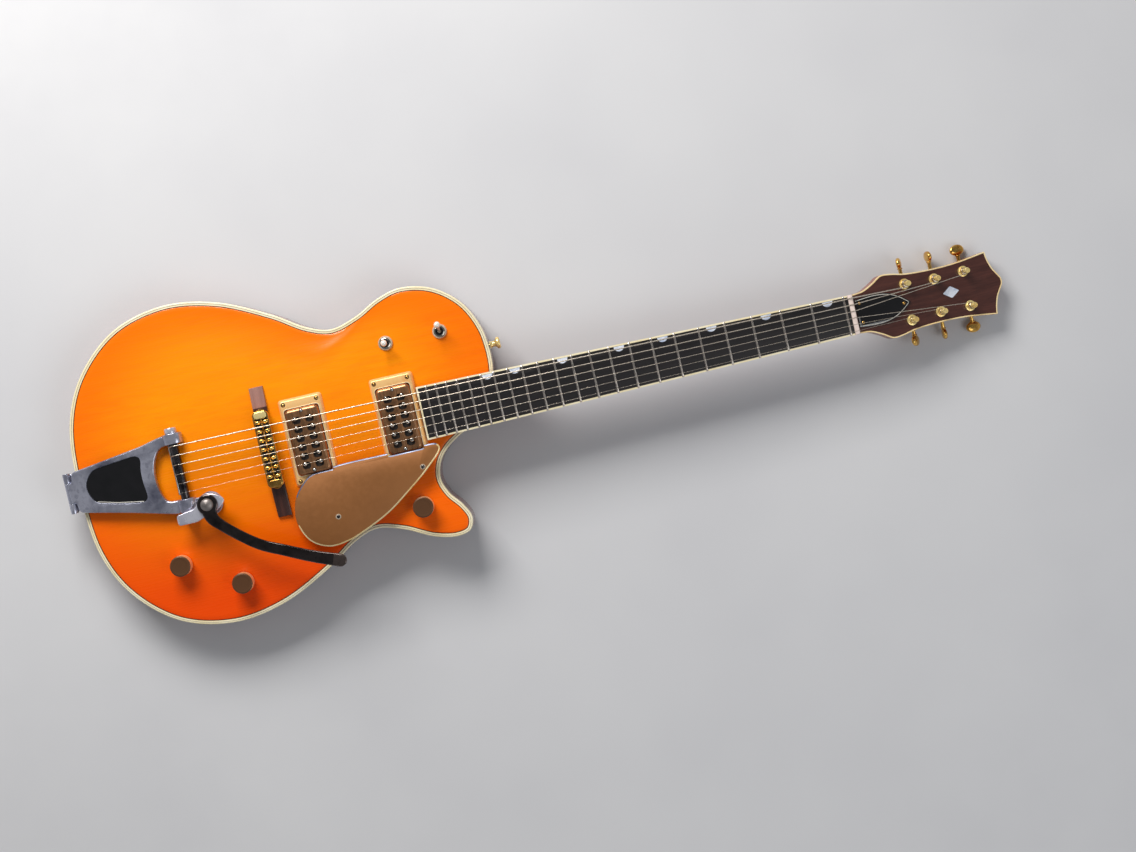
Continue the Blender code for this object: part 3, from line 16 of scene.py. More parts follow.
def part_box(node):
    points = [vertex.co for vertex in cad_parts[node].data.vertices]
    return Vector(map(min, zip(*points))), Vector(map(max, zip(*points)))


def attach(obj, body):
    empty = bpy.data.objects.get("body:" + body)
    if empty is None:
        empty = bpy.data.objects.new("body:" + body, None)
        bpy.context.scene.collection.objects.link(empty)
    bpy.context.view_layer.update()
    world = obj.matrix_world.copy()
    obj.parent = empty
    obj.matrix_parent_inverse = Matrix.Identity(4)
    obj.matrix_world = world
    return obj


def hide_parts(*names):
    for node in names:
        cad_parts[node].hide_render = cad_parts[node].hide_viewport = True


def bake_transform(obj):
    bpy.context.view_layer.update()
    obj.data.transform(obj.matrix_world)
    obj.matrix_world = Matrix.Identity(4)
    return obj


bl_info = {
    "name": "Electric guitar looks",
    "version": (1, 0, 0),
    "blender": (4, 5, 0),
    "location": "View3D > Sidebar > Guitar",
    "description": "Builds the detailed pieces, materials and studio of the electric guitar",
    "category": "Object",
}

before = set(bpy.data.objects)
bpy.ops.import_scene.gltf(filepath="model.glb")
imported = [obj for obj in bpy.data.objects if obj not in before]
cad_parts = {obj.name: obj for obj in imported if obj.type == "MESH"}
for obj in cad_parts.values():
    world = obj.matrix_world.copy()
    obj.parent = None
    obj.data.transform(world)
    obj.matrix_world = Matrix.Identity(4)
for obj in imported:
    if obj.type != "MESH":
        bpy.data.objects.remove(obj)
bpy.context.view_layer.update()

# Places shared by several pieces, in millimetres as in the CAD
TAIL_X = -209.2
LOWER_BOUT = ((-203.0, 70.5), (-180.0, 118.5), (-135.0, 157.7), (-78.0, 171.9), (-22.0, 163.0),
              (33.0, 136.9), (66.0, 115.8), (90.0, 108.2))
UPPER_BOUT = ((118.0, 115.2), (145.0, 128.5), (170.0, 134.5), (203.0, 127.2), (230.0, 106.0),
              (244.9, 77.1), (248.7, 54.0), (248.0, 30.0))
UNDER_NECK = ((241.0, 4.0), (225.0, -18.0))
CUTAWAY = (
    (198.2, -30.9), (182.0, -41.7), (171.7, -55.0), (167.9, -71.5), (173.5, -88.2), (185.2, -103.7),
    (191.4, -118.5), (186.8, -131.2), (172.5, -135.0), (148.5, -130.2), (118.0, -115.4))
HEAD_SIDE = ((-4.0, 20.6), (4.0, 21.3), (12.0, 22.2), (24.5, 27.8), (35.5, 34.0), (46.0, 33.6),
             (62.0, 30.5), (90.0, 28.9), (120.0, 29.7), (156.0, 34.2))
HEAD_TIP = ((156.0, 34.2), (157.4, 25.5), (160.8, 15.5), (165.8, 7.4), (168.3, 3.2), (168.8, 0.0))
ROD_COVER = ((1.0, 14.8), (23.5, 16.2), (40.0, 13.8), (51.5, 8.2), (62.2, 0.0))
GUARD_EDGE = (
    (64.0, -33.0), (120.0, -32.5), (160.0, -32.2), (173.0, -33.6), (175.7, -39.2), (157.5, -58.0),
    (135.0, -75.3), (109.2, -92.9), (84.8, -104.6), (61.2, -113.0), (39.2, -114.5), (20.5, -104.0),
    (11.2, -81.0), (15.7, -57.8), (26.8, -43.6), (36.5, -37.0))
ARM_PATH = ((-73.0, -42.2), (-71.2, -56.5), (-64.1, -65.5), (-46.4, -81.6), (-28.2, -95.2),
            (-5.1, -106.4), (22.0, -119.0), (49.5, -129.6))
CASTING = ((6, -21.5), (60, -33.5), (109, -45.8), (129.5, -45.8), (131, -44), (131, -33.5),
           (129, -31.5), (103, -31.5), (97.5, -26), (94.2, -12), (94, 1), (96.5, 12), (101, 21),
           (107, 27.2), (128, 27.2), (130, 29), (130, 37), (128, 38.8), (108.5, 37.8),
           (86, 32.5), (19, 23.2), (6, 21.5), (6, 11), (0, 11), (0, -11), (6, -11))
PANEL = ((19.2, 1.1), (20.8, 8.6), (27.1, 16.8), (32.7, 19.9), (77.2, 24.3), (82.2, 21.8),
         (83.1, 17.4), (80.7, 8.6), (80.4, -3.9), (82.0, -17.7), (81.6, -22.7), (77.2, -25.8),
         (48.4, -20.8), (27.1, -15.2), (22.1, -8.9))
POST_PLACES = ((59.6, 19.6), (93.4, 17.8), (127.3, 18.8))
BUTTON_TURNS = {"bass": (65, 88, 10), "treble": (50, 75, 8)}
KNOB_PLACES = {"bridge_volume_knob": (-118.7, -99.8), "neck_volume_knob": (-59.1, -131.7),
               "master_volume_knob": (144.5, -96.0)}
SWITCH_PLACES = {"pickup_switch": (143.4, 80.9, 0.0), "tone_switch": (201.7, 80.5, -25.0)}
PICKUPS = {"bridge": (42.5, 58.2, 63.6), "neck": (140.3, 55.2, 59.8)}
STRING_DIAMETERS = (1.32, 1.07, 0.81, 0.61, 0.41, 0.30)
INLAID_FRETS = (1, 3, 5, 7, 9, 12, 15, 17)
PIVOT = (-73.0, -42.2)
AXLE = (-97.0, 59.2)
HINGE = (-217.5, 50.0)
CUP_TOP = 56.2
BRACKET = (72.2, 76.2)
ARM = (76.5, 80.3)


# Settings

def length(name, text, metres):
    return bpy.props.FloatProperty(name=name, description=text, default=metres, min=0.0,
                                   subtype="DISTANCE", unit="LENGTH", precision=4)


class GuitarBodySettings(bpy.types.PropertyGroup):
    """Sizes of the body and its edge"""

    rim: length("Rim height", "Flat back to the edge of the arched top", 0.0445)
    arch: length("Arch", "Rise of the top above its edge", 0.0090)
    cap: length("Cap", "Thickness of the arched top at its edge", 0.0070)
    binding: length("Binding width", "Width of the edge binding with its lines", 0.0045)
    samples: bpy.props.IntProperty(name="Outline samples", default=12, min=2, max=40,
                                   description="Points between two places of the outline")


class GuitarNeckSettings(bpy.types.PropertyGroup):
    """Sizes of the neck, the fingerboard and the headstock"""

    scale: length("Scale length", "Zero fret to saddles", 0.625)
    nut_width: length("Nut width", "Width of the fingerboard at the zero fret", 0.0425)
    end_width: length("End width", "Width of the fingerboard at the body end", 0.0570)
    board_end: length("Board end", "Saddles to the body end of the fingerboard", 0.165)
    board: length("Board thickness", "Thickness of the fingerboard", 0.0060)
    radius: length("Board radius", "Radius of the fingerboard's round surface", 0.305)
    frets: bpy.props.IntProperty(
        name="Frets", description="Frets after the zero fret", default=22, min=1, max=27)
    head: length("Headstock thickness", "Face to back of the headstock", 0.0145)
    binding: length("Binding width", "Binding of the fingerboard and headstock", 0.0020)


class GuitarTunerSettings(bpy.types.PropertyGroup):
    """Sizes of the tuning machines"""

    post: length("Post radius", "Radius of a string post", 0.0030)
    rise: length("Post rise", "Headstock face to the top of a post", 0.0140)
    reach: length("Button reach", "Headstock's middle line to a button's middle", 0.0423)
    shaft: length("Shaft offset", "Post axis to button shaft along the headstock", 0.0065)


class GuitarHardwareSettings(bpy.types.PropertyGroup):
    """Sizes of the pickups, bridge and controls"""

    cover_length: length("Cover length", "Length of a pickup's cover", 0.0700)
    cover_width: length("Cover width", "Width of a pickup's cover", 0.0360)
    ring_length: length("Ring length", "Length of a pickup's bezel", 0.0935)
    ring_width: length("Ring width", "Width of a pickup's bezel", 0.0470)
    saddle_spread: length("Saddle spread", "Outer strings at the bridge", 0.0484)
    nut_spread: length("Nut spread", "Outer strings at the nut", 0.0350)
    axle_spread: length("Axle spread", "Outer strings at the vibrato's axle", 0.0498)
    knob: length("Knob radius", "Radius of a knob's skirt", 0.0109)
    wire: length("Spring wire", "Thickness of the vibrato spring's wire", 0.0024)
    coil: length("Spring radius", "Radius of the vibrato spring's coil", 0.0085)


class GuitarStageSettings(bpy.types.PropertyGroup):
    """Light, floor and camera"""

    key: bpy.props.FloatProperty(name="Key light", description="Power of the large soft light",
                                 default=52.0, min=0.0, unit="POWER")
    fill: bpy.props.FloatProperty(name="Fill light", description="Power of the weak far light",
                                  default=9.0, min=0.0, unit="POWER")
    walls: bpy.props.FloatProperty(name="Walls", description="Brightness of the room at eye level",
                                   default=0.44, min=0.0, max=5.0)
    ceiling: bpy.props.FloatProperty(
        name="Ceiling", description="Brightness straight overhead", default=0.15, min=0.0, max=5.0)
    lens: length("Lens", "Focal length of the camera", 0.06667)


# Curves in the plane

def spline(points, steps, closed=False):
    """Centripetal Catmull-Rom curve through the points, steps samples to a span."""
    p = np.array(points, float)
    if closed:
        p = np.concatenate([p[-1:], p, p[:2]])
    else:
        p = np.concatenate([2 * p[:1] - p[1:2], p, 2 * p[-1:] - p[-2:-1]])
    samples = []
    for a, b, c, d in zip(p, p[1:], p[2:], p[3:]):
        gaps = [math.sqrt(np.linalg.norm(v)) for v in (b - a, c - b, d - c)]
        knots = np.cumsum([0.0] + gaps)
        t = np.linspace(knots[1], knots[2], steps, endpoint=False)[:, None]

        def mix(u, v, i, j):
            return ((knots[j] - t) * u + (t - knots[i]) * v) / (knots[j] - knots[i])
        left, middle, right = mix(a, b, 0, 1), mix(b, c, 1, 2), mix(c, d, 2, 3)
        samples.append(mix(mix(left, middle, 0, 2), mix(middle, right, 1, 3), 1, 2))
    if not closed:
        samples.append(p[-2:-1])
    return np.concatenate(samples)


def turning(outline):
    """1 for a closed outline that runs anticlockwise, -1 for one that runs clockwise."""
    after = np.roll(outline, -1, axis=0)
    return np.sign((outline[:, 0] * after[:, 1] - after[:, 0] * outline[:, 1]).sum())


def unit(vectors):
    return vectors / np.linalg.norm(vectors, axis=-1)[..., None]


def left_of(along):
    """Directions turned a quarter anticlockwise."""
    return np.stack([-along[..., 1], along[..., 0]], axis=-1)


def inwards(outline, distance):
    """A closed outline drawn in by a distance."""
    along = unit(np.roll(outline, -1, axis=0) - np.roll(outline, 1, axis=0))
    return outline + distance * turning(outline) * left_of(along)


def raised(outline, height):
    """A flat outline with one height, or one for each of its points."""
    return np.column_stack([outline, np.broadcast_to(height, len(outline))])


def bend(before, here, after, steps):
    """A parabola from one place to another that heads for the corner between them."""
    t = np.linspace(0, 1, steps)[:, None]
    return (1 - t) ** 2 * before + 2 * t * (1 - t) * here + t ** 2 * after


def softened(corners, radius, steps=5):
    """A closed outline whose corners are rounded, by at most half of each side."""
    corners = np.array(corners, float)
    points = []
    for before, here, after in zip(np.roll(corners, 1, 0), corners, np.roll(corners, -1, 0)):
        back, ahead = before - here, after - here
        start = here + back * min(0.48, radius / np.linalg.norm(back))
        end = here + ahead * min(0.48, radius / np.linalg.norm(ahead))
        points.append(bend(start, here, end, steps))
    return np.concatenate(points)


def rounded_rectangle(size_x, size_y, radius, x=0.0, y=0.0, turn=0.0, steps=6):
    quarter = np.linspace(0, math.pi / 2, steps + 1)
    points = []
    for index, (sign_x, sign_y) in enumerate(((1, 1), (-1, 1), (-1, -1), (1, -1))):
        centre = np.array((sign_x * (size_x / 2 - radius), sign_y * (size_y / 2 - radius)))
        angles = quarter + index * math.pi / 2
        points.append(centre + radius * np.stack([np.cos(angles), np.sin(angles)], axis=1))
    c, s = math.cos(math.radians(turn)), math.sin(math.radians(turn))
    return np.concatenate(points) @ np.array(((c, s), (-s, c))) + (x, y)


def circle(x, y, radius, steps=32, radius_y=None):
    turn = np.linspace(0, 2 * math.pi, steps, endpoint=False)
    return np.stack([x + radius * np.cos(turn), y + (radius_y or radius) * np.sin(turn)], axis=1)


def mirrored(half):
    """A closed outline from one side of a shape that is symmetric about X."""
    other = half[::-1] * (1, -1)
    return np.concatenate([half, other[np.abs(other[:, 1]) > 1e-6]])


# Closed shells: points, faces and an own coordinate for the material

def at(x=0.0, y=0.0, z=0.0, turn=0.0, axis="Z"):
    """A place in millimetres, turned by degrees about an axis."""
    return np.array(Matrix.Translation((x, y, z)) @ Matrix.Rotation(math.radians(turn), 4, axis))


def rows_shell(rows, closed=False, own=None):
    """Rings of equally many points joined in order, and capped unless they close on themselves."""
    rows = np.array(rows, float)
    index = np.arange(rows.shape[0] * rows.shape[1]).reshape(rows.shape[:2])
    following = np.roll(index, -1, axis=0) if closed else index[1:]
    low = index if closed else index[:-1]
    quads = np.stack([low, np.roll(low, -1, 1), np.roll(following, -1, 1), following], axis=-1)
    faces = quads.reshape(-1, 4).tolist()
    if not closed:
        faces += [index[0].tolist(), index[-1].tolist()]
    points = rows.reshape(-1, 3)
    return points, faces, points if own is None else np.array(own, float).reshape(-1, 3)


def turned(profile, steps=40, closed=False, flutes=0, depth=0.0, fluted=(0, 0)):
    """A turned shell of (radius, height) pairs, with flutes cut on some of its rings."""
    turn = np.linspace(0, 2 * math.pi, steps, endpoint=False)
    rows, own = [], []
    for place, (radius, height) in enumerate(profile):
        round_it = np.full(steps, max(radius, 0.002))
        if flutes and fluted[0] <= place < fluted[1]:
            round_it = round_it - depth * (1 + np.cos(flutes * turn)) / 2
        rows.append(np.stack([
            round_it * np.cos(turn), round_it * np.sin(turn), np.full(steps, height)], axis=1))
        own.append(np.stack([np.full(steps, radius), np.cos(turn), np.sin(turn)], axis=1))
    return rows_shell(rows, closed, own)


def pin(radius, low, high, steps=20):
    """An upright rod with plain ends."""
    return turned([(0, high), (radius, high), (radius, low), (0, low)], steps)


def tube(path, radius, sides=12):
    """A round rod along a path. Its own coordinate is the way along it and the turn about it."""
    path = np.array(path, float)
    along = unit(np.gradient(path, axis=0))
    gone = np.concatenate([[0], np.cumsum(np.linalg.norm(np.diff(path, axis=0), axis=1))])
    turn = np.linspace(0, 2 * math.pi, sides, endpoint=False)
    c, s = np.cos(turn)[:, None], np.sin(turn)[:, None]
    side = np.cross(along[0], (0.31, 0.47, 0.83))
    rows, own = [], []
    for point, tangent, wide, far in zip(path, along, np.broadcast_to(radius, len(path)), gone):
        side = side - tangent * (side @ tangent)
        side /= np.linalg.norm(side)
        rows.append(point + wide * (c * side + s * np.cross(tangent, side)))
        own.append(np.concatenate([np.full_like(c, far), c, s], axis=1))
    return rows_shell(rows, own=own)


def plate(outlines, low, high, bevel=0.0, steps=3, hole=1.0):
    """A flat plate with rounded edges. The first outline is its edge, the others are holes.

    The holes' edges are rounded by a share of the outer edge's rounding.
    """
    turn = np.linspace(0, math.pi / 2, steps + 1)
    profile = [(0.0, low), (0.0, high)]
    if bevel:
        profile = [(bevel * (1 - math.sin(a)), low + bevel * (1 - math.cos(a))) for a in turn]
        profile += [(bevel * (1 - math.cos(a)), high - bevel * (1 - math.sin(a))) for a in turn]
    points, faces, start, first, last = [], [], 0, [], []
    for number, outline in enumerate(outlines):
        outline = np.array(outline, float)
        sign = 1 if number == 0 else -hole
        rows = [raised(inwards(outline, sign * drawn_in) if drawn_in else outline, height)
                for drawn_in, height in profile]
        made, quads, _ = rows_shell(rows)
        points.append(made)
        faces += [[i + start for i in face] for face in quads[:-2]]
        first += [i + start for i in quads[-2]]
        last += [i + start for i in quads[-1]]
        start += len(made)
    points = np.concatenate(points)
    loops, at_point = [], 0
    for outline in outlines:
        flat = points[last[at_point:at_point + len(outline)]]
        loops.append([Vector((x, y, 0)) for x, y, _ in flat])
        at_point += len(outline)
    for triangle in tessellate_polygon(loops):
        faces.append([last[i] for i in triangle])
        faces.append([first[i] for i in triangle[::-1]])
    return points, faces, points


def box(low, high, bevel=0.5, steps=3):
    """A box with all of its edges rounded."""
    low, high = np.array(low, float), np.array(high, float)
    size, middle = high - low, (high + low) / 2
    corner = min(bevel * 1.2, size[0] / 2.1, size[1] / 2.1)
    edge = rounded_rectangle(size[0], size[1], corner, middle[0], middle[1], steps=steps)
    return plate([edge], low[2], high[2], min(bevel, size[2] / 2.2, corner * 0.9), steps)


def moved(shell, matrix):
    points, faces, own = shell
    return points @ matrix[:3, :3].T + matrix[:3, 3], faces, own


def across(shell):
    """The same shell with its upright axis laid along Y."""
    points, faces, own = shell
    return points @ np.array(((1, 0, 0), (0, 0, 1), (0, -1, 0)), float).T, faces, own


def rod(x, z, radius, low, high, bevel=0.3, steps=28):
    """A turned rod along Y with softened ends."""
    bend_in = ((bevel, 0), (0.3 * bevel, 0.3 * bevel), (0, bevel))
    profile = [(0, high), *((radius - a, high - b) for a, b in bend_in),
               *((radius - a, low + b) for a, b in bend_in[::-1]), (0, low)]
    return moved(across(turned(profile, steps)), at(x, 0, z))


class Piece:
    """Closed shells, each in its paint, that become one object."""

    def __init__(self, place=None, main=None):
        self.place, self.main = np.eye(4) if place is None else place, main
        self.points, self.faces, self.own = [], [], []
        self.slots, self.paints, self.count = [], [], 0

    def add(self, shell, paint=None, place=None):
        """Adds a shell in the main paint, in another, or in one for each face's number."""
        paint = paint or self.main
        points, faces, own = moved(shell, self.place if place is None else self.place @ place)
        self.points.append(points)
        self.own.append(own)
        for number, face in enumerate(faces):
            name = paint(number) if callable(paint) else paint
            if name not in self.slots:
                self.slots.append(name)
            self.paints.append(self.slots.index(name))
            self.faces.append([i + self.count for i in face])
        self.count += len(points)
        return self

    def screw(self, x, y, z, radius, paint="steel_screw", place=None, turn=20.0):
        """A round-headed screw with its slot."""
        matrix = at(x, y, z, turn) if place is None else place @ at(x, y, z, turn)
        profile = [(0, 0.45), (0.5, 0.38), (0.85, 0.2), (1.0, 0.0), (1.0, -0.3), (0, -0.3)]
        self.add(turned([(radius * r, radius * h) for r, h in profile], 20), paint, matrix)
        # The slot is a near-black bar on the head: painted shade in the slot.
        slot = box((-0.8 * radius, -0.13 * radius, 0.1 * radius),
                   (0.8 * radius, 0.13 * radius, 0.46 * radius), 0.02, 1)
        return self.add(slot, "recess_painted_shade", matrix)

    def object(self, name):
        """Makes the object in metres, its faces turned outwards."""
        mesh = bpy.data.meshes.new(name)
        mesh.from_pydata(np.concatenate(self.points) * 0.001, [], self.faces)
        for paint in self.slots:
            mesh.materials.append(bpy.data.materials[paint])
        mesh.polygons.foreach_set("material_index", np.array(self.paints, np.int32))
        mark = mesh.attributes.new("own", "FLOAT_VECTOR", "POINT")
        mark.data.foreach_set("vector", np.concatenate(self.own).astype(np.float32).ravel())
        shape = bmesh.new()
        shape.from_mesh(mesh)
        bmesh.ops.recalc_face_normals(shape, faces=shape.faces)
        shape.to_mesh(mesh)
        shape.free()
        return new_object(name, mesh)

    def build(self, node, slot, body="guitar", sharp=32.0, carved=()):
        """Makes the object that stands for the CAD node, and lets it ride on a body if given."""
        obj = self.object("fine_" + node)
        if carved:
            carve(obj, carved)
        obj.data.shade_smooth()
        obj.data.set_sharp_from_angle(angle=math.radians(sharp))
        if body:
            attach(obj, body)
        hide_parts(node)
        return obj


def new_object(name, data):
    obj = bpy.data.objects.new(name, data)
    bpy.context.scene.collection.objects.link(obj)
    return obj


def carve(obj, shells):
    """Cuts shells, in millimetres, out of an object."""
    cutter = Piece()
    for shell in shells:
        cutter.add(shell, obj.data.materials[0].name)
    helper = cutter.object("cutter")
    change = obj.modifiers.new("carve", "BOOLEAN")
    change.operation = "DIFFERENCE"
    change.solver = "EXACT"
    change.object = helper
    bpy.context.view_layer.update()
    graph = bpy.context.evaluated_depsgraph_get()
    result = bpy.data.meshes.new_from_object(obj.evaluated_get(graph))
    obj.modifiers.clear()
    obj.data = result
    bpy.data.objects.remove(helper, do_unlink=True)


# Materials

def srgb(red, green, blue):
    """Linear colour of an 8-bit screen colour."""
    share = np.array((red, green, blue)) / 255
    linear = np.where(share <= 0.04045, share / 12.92, ((share + 0.055) / 1.055) ** 2.4)
    return (*(float(value) for value in linear), 1.0)


def add_node(tree, kind, inputs=None, **settings):
    """A node with its settings and its inputs, which are sockets to link or values to set."""
    made = tree.nodes.new("ShaderNode" + kind)
    for name, value in settings.items():
        setattr(made, name, value)
    set_inputs(tree, made, inputs or {})
    return made


def set_inputs(tree, node, inputs):
    for name, value in inputs.items():
        if isinstance(value, bpy.types.NodeSocket):
            tree.links.new(value, node.inputs[name])
        else:
            node.inputs[name].default_value = value


def start_group(name):
    """A node group that takes a vector and its scale and puts out a tint and a relief."""
    tree = bpy.data.node_groups.new(name, "ShaderNodeTree")
    for socket, way, kind in (("Vector", "INPUT", "Vector"), ("Scale", "INPUT", "Vector"),
                              ("Tint", "OUTPUT", "Float"), ("Relief", "OUTPUT", "Float")):
        tree.interface.new_socket(name=socket, in_out=way, socket_type="NodeSocket" + kind)
    given = tree.nodes.new("NodeGroupInput")
    scaled = add_node(tree, "VectorMath", {0: given.outputs["Vector"], 1: given.outputs["Scale"]},
                      operation="MULTIPLY")
    return tree, scaled.outputs[0]


def end_group(tree, tint, relief):
    set_inputs(tree, tree.nodes.new("NodeGroupOutput"), {"Tint": tint, "Relief": relief})


def noise(tree, vector, scale, detail, low, high, rough=0.55, distortion=0.0):
    """A noise drawn out to the whole range between two of its values."""
    made = add_node(tree, "TexNoise", {"Vector": vector, "Scale": scale, "Detail": detail,
                                       "Roughness": rough, "Distortion": distortion})
    spread = add_node(
        tree, "MapRange", {"Value": made.outputs["Fac"], "From Min": low, "From Max": high})
    return spread.outputs["Result"]


def maths(tree, operation, first, second):
    return add_node(tree, "Math", {0: first, 1: second}, operation=operation).outputs[0]


def make_groups():
    """The four shared effects."""
    tree, vector = start_group("wood_grain")
    broad = noise(tree, vector, 1.0, 4.0, 0.32, 0.68, 0.6, 0.7)
    fine = noise(tree, vector, 6.5, 3.0, 0.35, 0.7, 0.6, 0.3)
    end_group(tree, maths(tree, "ADD", maths(tree, "MULTIPLY", broad, 0.65),
                          maths(tree, "MULTIPLY", fine, 0.35)), fine)

    tree, vector = start_group("fine_scratches")
    broad = noise(tree, vector, 0.13, 2.0, 0.35, 0.65)
    lines = noise(tree, vector, 1.0, 2.0, 0.42, 0.62, 0.7)
    end_group(tree, maths(tree, "MULTIPLY", broad, lines), lines)

    # Patches and specks of wear; on the casting's aluminium they also stand for its wavy
    # reflections, a painted reflection.
    tree, vector = start_group("plating_wear_and_painted_reflection")
    patches = noise(tree, vector, 0.6, 5.0, 0.44, 0.66, 0.62, 0.4)
    specks = noise(tree, vector, 7.0, 2.0, 0.5, 0.72)
    end_group(tree, maths(tree, "MAXIMUM", patches, maths(tree, "MULTIPLY", specks, 0.6)), specks)

    tree, vector = start_group("soft_mottle")
    clouds = noise(tree, vector, 1.0, 3.0, 0.3, 0.7)
    end_group(tree, clouds, noise(tree, vector, 14.0, 2.0, 0.4, 0.75))


def effect(tree, group, vector, scale):
    """A shared effect on a vector, with one scale or one for each axis."""
    made = add_node(tree, "Group")
    made.node_tree = bpy.data.node_groups[group]
    set_inputs(tree, made, {"Vector": vector, "Scale": np.broadcast_to(scale, 3).tolist()})
    return made.outputs


def mixed(tree, share, before, colour, mode="MIX"):
    """Draws a colour towards another, or multiplies it, by a share."""
    return add_node(
        tree, "Mix", {0: share, 6: before, 7: colour}, data_type="RGBA", blend_type=mode).outputs[2]


def surface(name, light, dark, rough, metallic=0.0, coat=0.0, group="soft_mottle", scale=60.0,
            bump=0.0, own=False):
    """A material whose colour and roughness follow one of the shared effects."""
    made = bpy.data.materials.new(name)
    made.use_nodes = True
    tree = made.node_tree
    if own:
        vector = add_node(tree, "Attribute", attribute_name="own").outputs["Vector"]
    else:
        vector = add_node(tree, "TexCoord").outputs["Object"]
    seen = effect(tree, group, vector, scale)
    tint = mixed(tree, seen["Tint"], srgb(*light), srgb(*dark))
    gloss = add_node(
        tree, "MapRange", {"Value": seen["Relief"], "To Min": rough[0], "To Max": rough[1]})
    shader = tree.nodes["Principled BSDF"]
    set_inputs(tree, shader, {"Metallic": metallic, "Coat Weight": coat, "Coat Roughness": 0.06,
                              "Base Color": tint, "Roughness": gloss.outputs["Result"]})
    if bump:
        relief = add_node(
            tree, "Bump", {"Height": seen["Relief"], "Strength": 0.6, "Distance": bump})
        set_inputs(tree, shader, {"Normal": relief.outputs["Normal"]})
    return tree, shader, tint


def ramp(tree, value, low, high, most=1.0):
    """A smooth mask that rises from 0 to most as a value goes from low to high."""
    return add_node(
        tree, "MapRange", {"Value": value, "From Min": low, "From Max": high, "To Max": most},
        interpolation_type="SMOOTHSTEP").outputs["Result"]


def make_top_finish():
    """Orange stain under gloss, redder towards the edge, with faint streaks. The redder treble side
    and cutaway horn are painted shade.
    """
    tree, shader, colour = surface(
        "orange_lacquer_and_painted_shade", (255, 151, 0), (255, 139, 0), (0.24, 0.34), coat=0.16,
        group="wood_grain", scale=(5.0, 85.0, 30.0), bump=0.00001)
    own = add_node(tree, "Attribute", attribute_name="own").outputs["Vector"]
    rim = add_node(tree, "SeparateXYZ", {0: own}).outputs
    place = add_node(tree, "TexCoord").outputs["Object"]
    split = add_node(tree, "SeparateXYZ", {0: place}).outputs
    # Painted shade: the treble side and the cutaway horn, away from the key light, are painted
    # redder.
    treble = maths(
        tree, "MULTIPLY", ramp(tree, split["Y"], 0.04, -0.16), ramp(tree, split["X"], 0.22, 0.06))
    horn = maths(tree, "MULTIPLY", ramp(tree, split["Y"], -0.02, -0.12),
                 ramp(tree, split["X"], 0.06, 0.20, 0.75))
    for mask, redder in ((ramp(tree, rim["X"], 0.55, 1.05, 0.72), (255, 104, 0)),
                         (treble, (244, 76, 0)), (horn, (255, 100, 0))):
        colour = mixed(tree, mask, colour, srgb(*redder))
    streaks = effect(tree, "fine_scratches", place, (22.0, 130.0, 40.0))["Tint"]
    colour = mixed(tree, streaks, colour, (0.97, 0.91, 0.8, 1.0), "MULTIPLY")
    set_inputs(tree, shader, {"Base Color": colour, "Specular IOR Level": 0.25})


